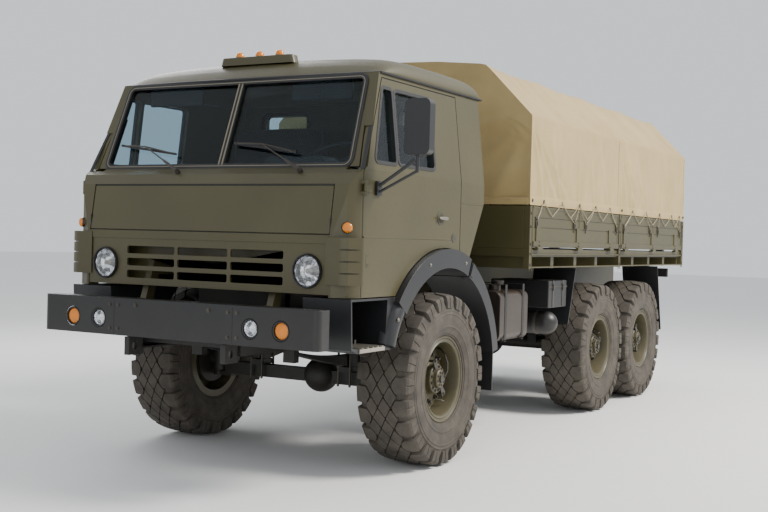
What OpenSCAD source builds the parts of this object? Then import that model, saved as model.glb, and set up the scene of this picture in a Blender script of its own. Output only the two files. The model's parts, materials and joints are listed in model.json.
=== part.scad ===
// Three-axle army cargo truck with a tilting cab, a drop-side bed and a canvas tilt.
// Origin: on the ground, under the middle of the front axle. -Y is forward, +X is the
// truck's left, +Z is up. Millimetres.

/* [Wheels and axles] */
// Outer radius of a tyre
tyre_r = 610; // [500:1:740]
// Width of a tyre
tyre_w = 400; // [330:1:480]
// Radius of the bead seat of a rim
bead_r = 267; // [240:1:300]
// Distance between the middle planes of a left and a right wheel
track = 2010; // [1980:1:2110]
// Front axle to middle axle
wheelbase = 3340; // [3300:1:4010]
// Middle axle to rear axle
bogie_pitch = 1320; // [1260:1:1590]
// Radius of a wheel spindle
spindle_r = 45; // [36:1:54]
// Radius of a kingpin
kingpin_r = 22; // [18:1:27]
// Length of a steering arm, kingpin to tie rod
steer_arm = 230; // [215:1:240]

/* [Chassis] */
// Width over the frame rails
frame_w = 865; // [820:1:880]
// Height of a frame rail
rail_h = 270; // [225:1:324]
// Sheet thickness of a frame rail
rail_t = 12; // [10:1:16]
// Frame rail's underside above the wheel centres
frame_rise = 210; // [200:1:252]
// Frame behind the rear axle
rear_overhang = 1290; // [1200:1:1500]
// Height of the front bumper
bumper_h = 245; // [204:1:290]
// Half width of the front bumper
bumper_half = 1120; // [1000:1:1200]
// Radius of the holes in the tow lugs
tow_hole_r = 25; // [20:1:30]
// Radius of the hole in the rear hitch
hitch_hole_r = 22; // [18:1:27]

/* [Cab] */
// Width of the cab
cab_w = 2310; // [2270:1:2400]
// Cab behind the front axle
cab_rear = 635; // [600:1:700]
// Gap from tyre to wheel arch
arch_gap = 175; // [165:1:210]
// Sill to belt line
belt_h = 815; // [740:1:900]
// Belt line to gutter
glass_h = 630; // [560:1:756]
// Gutter to the roof's crown
roof_h = 185; // [154:1:222]
// Thickness of the cab's walls
wall = 45; // [38:1:54]
// Thickness of a door
door_t = 55; // [46:1:66]
// Radius of a headlamp
headlamp_r = 100; // [84:1:110]
// Thickness of the window glass
glass_t = 6; // [5:1:8]

/* [Bed] */
// Width of the bed over its corner posts
bed_w = 2480; // [2440:1:2700]
// Gap between cab and bed
bed_gap = 705; // [620:1:800]
// Height of the drop sides
board_h = 335; // [280:1:402]
// Thickness of the drop sides
board_t = 40; // [34:1:44]
// Hem to eave of the canvas
tent_wall = 720; // [600:1:864]
// Eave to ridge of the canvas
tent_rise = 490; // [410:1:588]
// Thickness of the canvas and its bows
tent_t = 18; // [15:1:22]

/* [Clearances] */
// Pin in its bore, on the radius
pin_gap = 0.5; // [0.3:0.1:1]
// Between a moving panel and its frame
panel_gap = 7; // [6:1:9]

/* [Hidden] */
$fn = 64;

olive = "#6f6a4b";
black = "#26272a";
steel = "#8b8d8c";
rubber = "#3d3936";
canvas = "#b3a27c";
amber = "#d8661c";
clear = "#b8c2c8";
glass = "#5c6f7c";

// Heights, all carried up by the tyres
axle_z = tyre_r;
rail_z = axle_z + frame_rise;
rail_top = rail_z + rail_h;
arch_r = tyre_r + arch_gap;
sill_z = axle_z + arch_r - 180;
floor_z = axle_z + arch_r + 60;
floor_t = 45;
belt_z = sill_z + belt_h;
gutter_z = belt_z + glass_h;
roof_z = gutter_z + roof_h;

// Fore and aft stations
mid_y = wheelbase;
rear_y = wheelbase + bogie_pitch;
frame_front = -1390;
frame_end = rear_y + rear_overhang;
nose_y = -1268;
bumper_y = -1557;
bumper_depth = 120;
door_front = -1130;
door_rear = 236;
hinge_y = -1250;
hinge_z = sill_z - 115;

rim_half = tyre_w / 2 - 35;
kingpin_in = 205;
kingpin_x = track / 2 - kingpin_in;
half_cab = cab_w / 2;
half_frame = frame_w / 2;
lip_r = arch_r + 135;

function unit(v) = v / norm(v);
function arc(c, r, a0, a1, n) =
    [for (i = [0 : n]) let (a = a0 + (a1 - a0) * i / n) c + r * [cos(a), sin(a)]];

// A polygon's corners rounded to radius r, each with n + 1 points
function rounded(pts, r, n = 4) = [
    for (i = [0 : len(pts) - 1])
        let (p = pts[i],
             u = unit(pts[(i + len(pts) - 1) % len(pts)] - p),
             v = unit(pts[(i + 1) % len(pts)] - p),
             half = acos(u * v) / 2,
             c = p + unit(u + v) * r / sin(half),
             s = p + u * r / tan(half) - c,
             e = p + v * r / tan(half) - c,
             a0 = atan2(s[1], s[0]),
             turn = (atan2(e[1], e[0]) - a0 + 540) % 360 - 180)
        for (k = [0 : n]) c + r * [cos(a0 + turn * k / n), sin(a0 + turn * k / n)]
];
function rect(x0, x1, y0, y1) = [[x0, y0], [x1, y0], [x1, y1], [x0, y1]];

// Shapes by their limits
module block(x0, x1, y0, y1, z0, z1) {
    translate([x0, y0, z0]) cube([x1 - x0, y1 - y0, z1 - z0]);
}

// A profile drawn in Y and Z, carried from x0 to x1
module along_x(x0, x1) {
    translate([x0, 0, 0]) rotate([90, 0, 90]) linear_extrude(x1 - x0) children();
}

// A profile drawn in X and Z, carried from y0 to y1
module along_y(y0, y1) {
    translate([0, y1, 0]) rotate([90, 0, 0]) linear_extrude(y1 - y0) children();
}

// The children's own z axis laid along +X at a point
module about_x(x, y, z) {
    translate([x, y, z]) rotate([90, 0, 90]) children();
}

module rod(a, b, r) {
    d = b - a;
    turn = atan2(d[1], d[0]);
    translate(a) rotate([0, acos(d[2] / norm(d)), turn]) cylinder(r = r, h = norm(d));
}

module both_sides() {
    children();
    mirror([1, 0, 0]) children();
}

// ---- Wheels ----

// Tyre section: share of the section height, share of the half width
tyre_out = [[0, 0.74], [0.12, 0.745], [0.135, 0.87], [0.24, 0.95], [0.38, 0.99], [0.52, 1],
            [0.68, 0.985], [0.82, 0.94], [0.92, 0.875], [0.975, 0.77], [1, 0.55]];
tyre_in = [[0.88, 0.55], [0.82, 0.78], [0.66, 0.89], [0.5, 0.9], [0.36, 0.88], [0.22, 0.82],
           [0.1, 0.64], [0, 0.62]];

module tyre() {
    function at(k) = [bead_r + k[0] * (tyre_r - bead_r), k[1] * tyre_w / 2];
    function flip(k) = [k[0], -k[1]];
    out = [for (k = tyre_out) at(k)];
    in = [for (k = tyre_in) at(k)];
    n = len(out) - 1;
    m = len(in) - 1;
    out_back = [for (i = [0 : n]) flip(out[n - i])];
    in_back = [for (i = [0 : m]) flip(in[m - i])];
    rotate_extrude() polygon(concat(out, out_back, in_back, in));
}

drum_r = 185;
drum_in = -120;
hub_in = -70;
hub_end = 110;

module rim() {
    b = bead_r;
    w = rim_half;
    bore = spindle_r + 1;
    rotate_extrude() polygon([
        [0, 172], [60, 172], [70, 165], [70, 138], [95, 135], [112, 122], [118, 80], [150, 76],
        [b - 15, 62], [b - 13, w], [b + 38, w], [b + 38, w - 12], [b, w - 14],
        [b, 14 - w], [b + 38, 12 - w], [b + 38, -w], [b - 13, -w], [b - 13, 48],
        [drum_r, 52], [drum_r, drum_in], [drum_r - 15, drum_in], [drum_r - 15, 50],
        [110, 50], [bore + 29, 30], [bore + 29, hub_in], [bore, hub_in], [bore, hub_end],
        [0, hub_end]
    ]);
}

// Puts a left wheel, or its mirror image on the right, on its axle
module at_wheel(side, y) {
    if (side > 0) about_x(track / 2, y, axle_z) children();
    else mirror([1, 0, 0]) about_x(track / 2, y, axle_z) children();
}

module front_left_tyre() color(rubber) at_wheel(1, 0) tyre();
module front_right_tyre() color(rubber) at_wheel(-1, 0) tyre();
module middle_left_tyre() color(rubber) at_wheel(1, mid_y) tyre();
module middle_right_tyre() color(rubber) at_wheel(-1, mid_y) tyre();
module rear_left_tyre() color(rubber) at_wheel(1, rear_y) tyre();
module rear_right_tyre() color(rubber) at_wheel(-1, rear_y) tyre();
module front_left_rim() color(olive) at_wheel(1, 0) rim();
module front_right_rim() color(olive) at_wheel(-1, 0) rim();
module middle_left_rim() color(olive) at_wheel(1, mid_y) rim();
module middle_right_rim() color(olive) at_wheel(-1, mid_y) rim();
module rear_left_rim() color(olive) at_wheel(1, rear_y) rim();
module rear_right_rim() color(olive) at_wheel(-1, rear_y) rim();

// The spare stands behind the cab, its hub's open end towards the bed
spare_y = cab_rear + 165 + tyre_w / 2;
spare_z = rail_top + 30 + tyre_r;
module at_spare() translate([0, spare_y, spare_z]) rotate([90, 0, 0]) children();
module spare_tyre() color(rubber) at_spare() tyre();
module spare_rim() color(olive) at_spare() rim();

// ---- Axles ----

// Spindle, shoulder and brake backplate, from the wheel's middle plane inwards
module spindle_end() {
    translate([0, 0, -kingpin_in]) cylinder(r = spindle_r, h = kingpin_in + hub_end - 5);
    translate([0, 0, -kingpin_in]) cylinder(r = spindle_r + 15, h = kingpin_in + hub_in - 5);
    translate([0, 0, drum_in - 15]) cylinder(r = drum_r, h = 8);
}

fork_z = 90;
fork_t = 35;
lug_r = 52;
arm_z = axle_z - fork_z + 5;
rod_z = axle_z - 110;
rod_pin_r = 12;

module knuckle() {
    translate([kingpin_x, 0, axle_z]) {
        translate([0, 0, 5 - fork_z]) cylinder(r = 58, h = 2 * (fork_z - 5));
        translate([0, 0, -fork_z - fork_t]) cylinder(r = kingpin_r, h = 2 * (fork_z + fork_t));
    }
    about_x(track / 2, 0, axle_z) spindle_end();
    block(kingpin_x - 24, kingpin_x + 24, 0, steer_arm, arm_z, arm_z + 30);
    translate([kingpin_x, steer_arm, arm_z]) cylinder(r = 24, h = 30);
    translate([kingpin_x, steer_arm, rod_z - 20]) cylinder(r = rod_pin_r, h = arm_z - rod_z + 25);
}

module left_knuckle() color(olive) knuckle();
module right_knuckle() color(olive) mirror([1, 0, 0]) knuckle();

module tie_rod() color(black) difference() {
    union() {
        rod([-kingpin_x + 20, steer_arm, rod_z], [kingpin_x - 20, steer_arm, rod_z], 16);
        both_sides() translate([kingpin_x, steer_arm, rod_z - 15]) cylinder(r = 28, h = 30);
    }
    both_sides() translate([kingpin_x, steer_arm, rod_z - 25])
        cylinder(r = rod_pin_r + pin_gap, h = 50);
}

front_spring_x = 395;
rear_spring_x = 500;
spring_w = 90;
beam_low = axle_z - 105;
beam_top = axle_z - 10;
diff_r = 130;

module front_axle() color(olive) difference() {
    union() {
        block(-kingpin_x + 90, kingpin_x - 90, -45, 45, beam_low, beam_top);
        translate([150, 0, axle_z - 50]) sphere(r = diff_r);
        rod([150, 0, axle_z + 10], [150, 300, axle_z + 10], 50);
        both_sides() {
            block(kingpin_x - 140, kingpin_x - 80, -45, 45, axle_z - 125, axle_z + 125);
            for (z = [-fork_z - fork_t, fork_z]) {
                block(kingpin_x - 80, kingpin_x, -45, 45, axle_z + z, axle_z + z + fork_t);
                translate([kingpin_x, 0, axle_z + z]) cylinder(r = lug_r, h = fork_t);
            }
            block(front_spring_x - 45, front_spring_x + 45, -80, 80, beam_top, beam_top + 40);
        }
    }
    both_sides() translate([kingpin_x, 0, axle_z - 130])
        cylinder(r = kingpin_r + pin_gap, h = 260);
}

rear_tube_r = 60;
rear_diff_r = 160;
shaft_z = axle_z + 90;

module rear_axle(y, through) {
    translate([0, y, axle_z]) sphere(r = rear_diff_r);
    rod([-kingpin_x, y, axle_z], [kingpin_x, y, axle_z], rear_tube_r);
    rod([0, y - 300, shaft_z], [0, y, shaft_z], 50);
    if (through) rod([0, y, shaft_z], [0, y + 300, shaft_z], 50);
    both_sides() {
        about_x(track / 2, y, axle_z) spindle_end();
        block(rear_spring_x - 45, rear_spring_x + 45, y - 70, y + 70, axle_z, axle_z + 80);
    }
}

module rear_axles() color(olive) {
    rear_axle(mid_y, true);
    rear_axle(rear_y, false);
}

// ---- Suspension ----

bogie_y = (mid_y + rear_y) / 2;
front_spring_half = 740;

module leaf_springs() color(black) {
    n = 12;
    half = front_spring_half;
    low = beam_top + 40;
    high = rail_z - 20;
    span = [for (i = [-n : n]) i / n];
    both_sides() {
        along_x(front_spring_x - spring_w / 2, front_spring_x + spring_w / 2)
            polygon(concat(
                [for (t = span) [t * half, low + 90 + (high - low - 90) * t * t]],
                [for (i = [n : -1 : -n]) let (t = abs(i) / n)
                    [i / n * half, low + (high - 18 - low) * pow(t, 1.2)]]));
        reach = bogie_pitch / 2 + 60;
        seat = axle_z + 80;
        along_x(rear_spring_x - spring_w / 2, rear_spring_x + spring_w / 2)
            polygon(concat(
                [[bogie_y + reach, seat], [bogie_y - reach, seat]],
                [for (t = span) [bogie_y + t * reach, seat + 25 + 95 * (1 - t * t)]]));
        block(rear_spring_x - 45, rear_spring_x + 45, bogie_y - 80, bogie_y + 80,
              axle_z + 40, seat);
    }
}

// ---- Chassis ----

trunnion_z = axle_z - 15;
spare_post_y = spare_y + tyre_w / 2 + 12;
cross_y = [-1330, -960, 1150, 2150, 2900, bogie_y, rear_y + 440, frame_end - 50];
tow_x = 395;
tow_y = -1470;
tow_z = rail_z + 20;
tank_y0 = arch_r + 265;
tank_len = 570;
tank_x0 = half_frame + 68;
tank_x1 = 1130;
tank_z0 = rail_z - 20;
tank_z1 = rail_z + 380;
box_y0 = tank_y0 + 900;
box_len = 430;
box_x0 = 640;
box_z0 = rail_z + 215;
box_z1 = rail_z + 450;
hitch_y = frame_end + 85;
hitch_z = rail_z + 90;

module rail() {
    difference() {
        block(half_frame - 80, half_frame, frame_front, frame_end, rail_z, rail_top);
        block(half_frame - 81, half_frame - rail_t, frame_front - 1, frame_end + 1,
              rail_z + rail_t, rail_top - rail_t);
    }
}

module chassis_frame() color(black) both_sides() rail();

// Crossmembers, hangers, brackets and outriggers, each bolted to the rails
module frame_brackets() color(black) {
    both_sides() {
        // front spring hangers
        for (y = [-front_spring_half - 60, front_spring_half])
            block(front_spring_x - 45, front_spring_x + 45, y, y + 60, rail_z - 90, rail_z);
        // bogie brackets with the trunnion's ends
        block(half_frame - 80, half_frame, bogie_y - 150, bogie_y + 150,
              trunnion_z - 70, rail_z);
        rod([half_frame - 10, bogie_y, trunnion_z], [545, bogie_y, trunnion_z], 55);
        // bumper brackets
        block(half_frame - 60, half_frame, bumper_y + 6, frame_front,
              rail_z + 110, rail_z + 310);
        // cab hinge brackets with their pins
        block(half_frame - 60, half_frame, hinge_y - 40, hinge_y + 40,
              rail_top, hinge_z + 30);
        about_x(half_frame, hinge_y, hinge_z) cylinder(r = 20, h = 135);
        // tank and box brackets
        for (y = [tank_y0 + 80, tank_y0 + tank_len - 140])
            block(half_frame, tank_x0, y, y + 60, rail_z + 20, rail_top - 30);
        for (y = [box_y0 + 60, box_y0 + box_len - 120])
            block(half_frame, box_x0, y, y + 60, rail_z + 190, rail_z + 215);
        // rear rest of the cab
        block(half_frame - 80, half_frame, 540, 600, rail_top, floor_z - floor_t - 70);
        // outriggers that carry the mudguards
        block(half_frame, 1100, arch_r + 60, arch_r + 110, rail_z + 60, rail_z + 110);
        for (y = [mid_y - 872, rear_y + 600])
            block(half_frame, 1100, y, y + 50, rail_top - 60, rail_top - 10);
    }
    for (y = cross_y)
        block(rail_t - half_frame, half_frame - rail_t, y - 40, y + 40,
              rail_z + 40, rail_top - 40);
    block(-600, 600, 540, 600, floor_z - floor_t - 70, floor_z - floor_t - 10);
    trunnion = half_frame - 80;
    rod([-trunnion, bogie_y, trunnion_z], [trunnion, bogie_y, trunnion_z], 55);
    // cradle and post of the spare wheel
    block(-half_frame, half_frame, spare_y - 50, spare_post_y + 50, rail_top, rail_top + 24);
    block(-70, 70, spare_post_y, spare_post_y + 40, rail_top, spare_z + 110);
    rod([0, spare_post_y, spare_z], [0, spare_y - hub_end + 5, spare_z], spindle_r);
}

module tow_fittings() color(black) difference() {
    union() {
        // tow lugs, in front of the rails
        both_sides()
            block(tow_x - 20, tow_x + 20, tow_y - 55, frame_front, tow_z - 60, tow_z + 60);
        // rear hitch jaw
        back = frame_end - 10;
        block(-60, 60, back, hitch_y + 55, hitch_z - 60, hitch_z - 25);
        block(-60, 60, back, hitch_y + 55, hitch_z + 25, hitch_z + 60);
        block(-90, 90, back, frame_end + 12, rail_z + 10, rail_top - 10);
    }
    both_sides() about_x(tow_x - 30, tow_y, tow_z) cylinder(r = tow_hole_r, h = 60);
    translate([0, hitch_y, hitch_z - 80]) cylinder(r = hitch_hole_r, h = 160);
}

bumper_z = rail_z + 88;
lamp_z = bumper_z + 107;
lamp_hole_r = 65;
lamp_x = [620, 850];

module bumper_lamp_holes() {
    both_sides() for (x = lamp_x)
        rod([x, bumper_y - 10, lamp_z], [x, bumper_y + 60, lamp_z], lamp_hole_r);
}

// The bumper's outline seen from above, drawn in by its sheet and carried back to a depth
function bumper_plan(inset, back) = concat(
    [[bumper_half - inset, back]],
    arc([bumper_half - 45, bumper_y + 45], 45 - inset, 0, -90, 6),
    arc([45 - bumper_half, bumper_y + 45], 45 - inset, 270, 180, 6),
    [[inset - bumper_half, back]]);

module front_bumper() color(black) {
    back = bumper_y + bumper_depth;
    difference() {
        translate([0, 0, bumper_z]) linear_extrude(bumper_h) polygon(bumper_plan(0, back));
        translate([0, 0, bumper_z + 6]) linear_extrude(bumper_h - 12)
            polygon(bumper_plan(6, back + 1));
        bumper_lamp_holes();
    }
}

// Clear lamps inside, amber lamps outside, each with a rim behind the bumper's face
module bumper_lamps() {
    both_sides() for (i = [0, 1]) color(i == 0 ? clear : amber) {
        x = lamp_x[i];
        rod([x, bumper_y + 6, lamp_z], [x, bumper_y + 46, lamp_z], lamp_hole_r + 10);
        rod([x, bumper_y - 4, lamp_z], [x, bumper_y + 7, lamp_z], 48);
    }
}

module engine() color(steel) {
    block(-330, 330, -700, 450, rail_z + 30, floor_z - floor_t - 60);
    block(-340, 340, -860, -780, rail_z + 40, floor_z - floor_t - 40);
}

case_y = 1400;
module driveline() color(steel) {
    block(-200, 200, 455, 940, rail_z - 60, rail_top - 10);
    block(-220, 220, case_y, case_y + 450, rail_z - 190, rail_z + 180);
    rod([0, 940, rail_z - 20], [0, case_y, rail_z - 20], 38);
    rod([150, 306, axle_z + 12], [150, case_y, axle_z + 100], 38);
    rod([0, case_y + 450, axle_z + 110], [0, mid_y - 306, shaft_z], 38);
    rod([0, mid_y + 300, shaft_z], [0, rear_y - 300, shaft_z], 35);
}

module muffler() color(steel) {
    rod([-780, tank_y0 + 740, rail_z + 140], [-780, tank_y0 + 1300, rail_z + 140], 125);
    rod([-780, tank_y0 + 660, rail_z + 140], [-780, tank_y0 + 740, rail_z + 140], 45);
    block(-780, -half_frame, tank_y0 + 1010, tank_y0 + 1060, rail_z + 255, rail_z + 265);
}

module fuel_tanks() color(black) both_sides() {
    along_y(tank_y0, tank_y0 + tank_len)
        polygon(rounded(rect(tank_x0, tank_x1, tank_z0, tank_z1), 60, 5));
    translate([tank_x1 - 110, tank_y0 + 130, tank_z1 - 1]) cylinder(r = 48, h = 50);
}

module battery_box() color(black) {
    block(box_x0, 1180, box_y0, box_y0 + box_len, box_z0, box_z1);
}

module air_tank() color(black) {
    y = box_y0 + 90;
    z = rail_z + 85;
    rod([half_frame, y, z], [1130, y, z], 100);
    translate([1130, y, z]) sphere(r = 100);
}

module flap_plate(y0, z0, y1, z1, t = 12) {
    along_x(800, 1200) polygon([[y0, z0], [y1, z1], [y1 + t, z1], [y0 + t, z0]]);
}

// The arch's hoop between two angles, 0 straight back and 90 straight up
module hoop(r0, r1, x0, x1, a0, a1) {
    about_x(x0, 0, axle_z) rotate([0, 0, a0])
        rotate_extrude(angle = a1 - a0, $fn = 180) polygon(rect(r0, r1, 0, x1 - x0));
}

// Where the cab's part of the front arch meets the chassis' part
arch_split = 67;
arch_rear = 10;
arch_front = 156;
fender_x0 = 800;
fender_x1 = 1200;

module mudguards() color(black) {
    both_sides() {
        hoop(arch_r, arch_r + 12, fender_x0, fender_x1 - 30, arch_rear, arch_split - 1);
        difference() {
            hoop(arch_r, lip_r, fender_x1 - 45, fender_x1, arch_rear, arch_split - 1);
            // the lip tapers towards its lower end
            translate([0, 70, -35]) about_x(0, 0, axle_z) difference() {
                cylinder(r = 2 * lip_r, h = 2000);
                translate([-110, 35, -1]) cylinder(r = lip_r, h = 2002, $fn = 180);
            }
        }
        block(900, 1190, arch_r + 10, arch_r + 22, axle_z - 160, axle_z + 160);
        block(900, 1100, arch_r + 12, arch_r + 60, rail_z + 60, rail_z + 110);
        flap_plate(mid_y - 794, bed_low - 6, mid_y - 960, axle_z + 265);
        flap_plate(rear_y + 457, bed_low - 6, rear_y + 655, axle_z + 60);
    }
}

module tail_lamps() color(amber) both_sides() {
    block(780, 1090, frame_end - 50, frame_end + 10, rail_top + 150, rail_top + 250);
}

// ---- Cab ----

flank_lean = glass_h * 0.119;
screen_z0 = belt_z + 20;
screen_z1 = gutter_z - 25;
screen_lean = 0.373;
function screen_y(z) = -1086 + (z - screen_z0) * screen_lean;

// The cab's flank in X and Z, upwards, drawn in by an inset, and the left flank downwards
function flank(inset, z0) = concat(
    [[half_cab - inset, z0]],
    arc([half_cab - inset - 300, belt_z - 30], 300, 0, 6.8, 3),
    [[half_cab - inset - flank_lean, gutter_z]]);
function flank_down(inset, z0) = let (f = flank(inset, z0), n = len(f) - 1)
    [for (i = [0 : n]) f[n - i]];

// Outer shape of the cab, or the same shape drawn in by an inset, from z0 to z1
module cab_form(inset, z0, z1) {
    f = nose_y + inset;
    intersection() {
        along_x(-half_cab, half_cab) polygon(concat(
            [[cab_rear - inset, z0], [cab_rear - inset, z1], [screen_y(z1) + inset, z1]],
            [[screen_y(belt_z + 8) + inset, belt_z + 8], [f + 90, belt_z - 42],
             [f + 46, belt_z - 110], [f, belt_z - 425], [f, z0]]));
        along_y(nose_y - 10, cab_rear + 10) polygon(concat(
            flank(inset, z0), [for (p = flank_down(inset, z0)) [-p[0], p[1]]]));
        translate([0, 0, z0 - 1]) linear_extrude(z1 - z0 + 2) polygon(concat(
            [[half_cab - inset, cab_rear]],
            arc([half_cab - inset - 200, door_front + 40], 200, 0, -45, 5),
            [[half_cab - 140 - inset, nose_y], [inset + 140 - half_cab, nose_y]],
            arc([200 + inset - half_cab, door_front + 40], 200, 225, 180, 5),
            [[inset - half_cab, cab_rear]]));
    }
}

door_top = gutter_z - 38;
door_low = sill_z + 2;

// The door's outline seen from the side, grown outwards by a gap
module door_outline(gap) {
    difference() {
        polygon([[door_front - gap, door_low - gap], [door_front - gap, belt_z - 30],
                 [screen_y(door_top) + 45 - gap, door_top + gap],
                 [door_rear + gap, door_top + gap], [door_rear + gap, door_low - gap]]);
        translate([0, axle_z]) circle(r = lip_r + 6 - gap, $fn = 180);
    }
}

window_z0 = belt_z + 45;
window_z1 = gutter_z - 100;
window_post = -700;
window_rear = -172;
function quarter_pane(g) = rounded([
    [screen_y(window_z0) + 85 - g, window_z0 - g], [window_post - 16 + g, window_z0 - g],
    [window_post - 16 + g, window_z1 + g], [screen_y(window_z1) + 62 - g, window_z1 + g]], 25, 3);
function main_pane(g) = rounded(
    rect(window_post + 16 - g, window_rear + g, window_z0 - g, window_z1 + g), 35, 3);

rear_window_x = 640;
function rear_pane(g) = rounded(
    rect(rear_window_x - 215 - g, rear_window_x + 215 + g, gutter_z - 280 - g,
         gutter_z - 75 + g), 35, 3);

screen_half0 = half_cab - 135;
screen_half1 = half_cab - 161;
function screen_pane(g) = rounded(
    [[18 - g, screen_z0 - g], [screen_half0 + g, screen_z0 - g],
     [screen_half1 + g, screen_z1 + g], [18 - g, screen_z1 + g]], 40, 4);

flap_half = 990;
flap_low = sill_z + 392;
flap_top = belt_z - 112;
flap_t = 25;
lamp_house_z = sill_z + 159;
head_x = 838;
door_hinge_x = half_cab + 20;
door_hinge_y = door_front - 14;
door_hinge_z = [sill_z + 235, sill_z + 685];
door_pin_r = 8;

// A skin along the flank, between two insets
module flank_skin(t0, t1) {
    along_y(nose_y, cab_rear)
        polygon(concat(flank(t0, sill_z - 50), flank_down(t1, sill_z - 50)));
}

// Hinge leaf on the cab's corner: two eyes, their plate and the pin
module door_hinge_post(z) {
    translate([door_hinge_x, door_hinge_y, z]) {
        for (dz = [-45, 25]) translate([0, 0, dz]) cylinder(r = 13, h = 20);
        translate([0, 0, -45]) cylinder(r = door_pin_r, h = 90);
    }
    for (dz = [-45, 25])
        block(door_hinge_x - 45, door_hinge_x, door_hinge_y - 13, door_hinge_y - 3,
              z + dz, z + dz + 20);
}

module door_hinge_leaf(z) {
    difference() {
        union() {
            translate([door_hinge_x, door_hinge_y, z - 23]) cylinder(r = 13, h = 46);
            block(half_cab, door_hinge_x, door_hinge_y + 3, door_front + 70, z - 23, z + 23);
        }
        translate([door_hinge_x, door_hinge_y, z - 50])
            cylinder(r = door_pin_r + pin_gap, h = 100);
    }
}

module cab_shell() color(olive) {
    difference() {
        cab_form(0, sill_z, gutter_z);
        // the cabin
        difference() {
            cab_form(wall, floor_z, gutter_z + 1);
            block(-half_cab, half_cab, nose_y, nose_y + 168, floor_z - 1, belt_z - 20);
        }
        // behind the grille and the front flap
        block(-flap_half - panel_gap, flap_half + panel_gap, nose_y - 20, nose_y + 128,
              sill_z - 1, flap_top + 2);
        // under the floor
        block(wall - half_cab, half_cab - wall, nose_y + 100, cab_rear + 1,
              sill_z - 1, floor_z - floor_t);
        // wheel arch
        about_x(-half_cab - 1, 0, axle_z) cylinder(r = lip_r + 1, h = cab_w + 2, $fn = 180);
        // rear lower corners
        along_x(-half_cab - 1, half_cab + 1) polygon([[cab_rear + 1, belt_z - 160],
            [cab_rear + 1, sill_z - 1], [330, sill_z - 1], [330, sill_z + 145],
            [cab_rear - 215, sill_z + 275]]);
        both_sides() {
            along_x(half_cab - 140, half_cab + 1) door_outline(panel_gap);
            along_y(nose_y - 10, -700) polygon(screen_pane(0));
            along_y(cab_rear - wall - 1, cab_rear + 1) polygon(rear_pane(0));
        }
    }
    both_sides() {
        for (z = door_hinge_z) door_hinge_post(z);
        // under-floor beams that end in the cab's hinge eyes
        difference() {
            along_x(half_frame + 72, half_frame + 122) polygon(concat(
                [[-1100, floor_z - floor_t - 110], [500, floor_z - floor_t - 110],
                 [500, floor_z - floor_t], [-1140, floor_z - floor_t],
                 [hinge_y + 30, hinge_z + 60]],
                arc([hinge_y, hinge_z], 42, 60, 330, 12), [[-1150, hinge_z + 20]]));
            about_x(half_frame, hinge_y, hinge_z) cylinder(r = 20 + pin_gap, h = 200);
        }
        difference() {
            block(half_frame + 72, half_cab - 170, nose_y + 128, nose_y + 168,
                  sill_z + 20, floor_z - floor_t);
            about_x(0, 0, axle_z) cylinder(r = lip_r + 40, h = half_cab);
        }
    }
}

// Roof shape drawn in by an inset
module roof_form(inset) {
    i = inset;
    x = half_cab - flank_lean;
    intersection() {
        along_x(-half_cab, half_cab) polygon([
            [cab_rear + 15 - i, gutter_z], [cab_rear + 55 - i, roof_z - 75 - i],
            [cab_rear + 20 - i, roof_z - 20 - i], [500, roof_z - 3 - i], [0, roof_z - i],
            [-400, roof_z - 15 - i], [-640, roof_z - 40 - i], [-803 + i, gutter_z + 92 - i],
            [screen_y(gutter_z) - 8 + i, gutter_z + 12], [screen_y(gutter_z) - 8 + i, gutter_z]]);
        along_y(-1000, cab_rear + 100) polygon([
            [x + 5 - i, gutter_z], [x + 5 - i, gutter_z + 14], [x - 25 - i, gutter_z + 85 - i],
            [x - 75 - i, gutter_z + 132 - i], [x - 200, gutter_z + 158 - i],
            [x - 560, roof_z - 6 - i], [0, roof_z - i],
            [560 - x, roof_z - 6 - i], [200 - x, gutter_z + 158 - i],
            [75 - x + i, gutter_z + 132 - i], [25 - x + i, gutter_z + 85 - i],
            [i - x - 5, gutter_z + 14], [i - x - 5, gutter_z]]);
    }
}

module cab_roof() color(olive) difference() {
    roof_form(0);
    difference() {
        roof_form(wall);
        block(-half_cab, half_cab, -2000, 2000, gutter_z - 1, gutter_z);
    }
    block(wall + flank_lean - half_cab + 5, half_cab - flank_lean - wall - 5,
          screen_y(gutter_z) + wall, cab_rear - wall, gutter_z - 1, gutter_z + 20);
}

grille_half = flap_half + panel_gap;
slot_half = 650;
slot_gap = 26;
slot_h = 52;
slot_pitch = 83;
module front_grille() color(olive) difference() {
    union() {
        block(-grille_half, grille_half, nose_y + 6, nose_y + 24, sill_z + 15, flap_low - 6);
        block(-grille_half, grille_half, nose_y, nose_y + 24, flap_low - 60, flap_low - 6);
    }
    w = (2 * slot_half - 2 * slot_gap) / 3;
    for (row = [0 : 2]) for (col = [0 : 2]) {
        x = -slot_half + col * (w + slot_gap);
        z = sill_z + 62 + row * slot_pitch;
        along_y(nose_y - 10, nose_y + 40) polygon(rounded(rect(x, x + w, z, z + slot_h), 12, 3));
    }
    both_sides() rod([head_x, nose_y - 10, lamp_house_z], [head_x, nose_y + 40, lamp_house_z],
                     headlamp_r + 8);
}

// Front flap, hinged along its top edge
function nose_face(z) = nose_y + 46 * max(0, z - (belt_z - 425)) / 315;
module front_flap() color(olive) {
    low = flap_low;
    top = flap_top - 8;
    along_x(-flap_half, flap_half) polygon([
        [nose_face(low), low], [nose_face(top), top],
        [nose_face(top) + flap_t, top], [nose_face(low) + flap_t, low]]);
}

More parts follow.
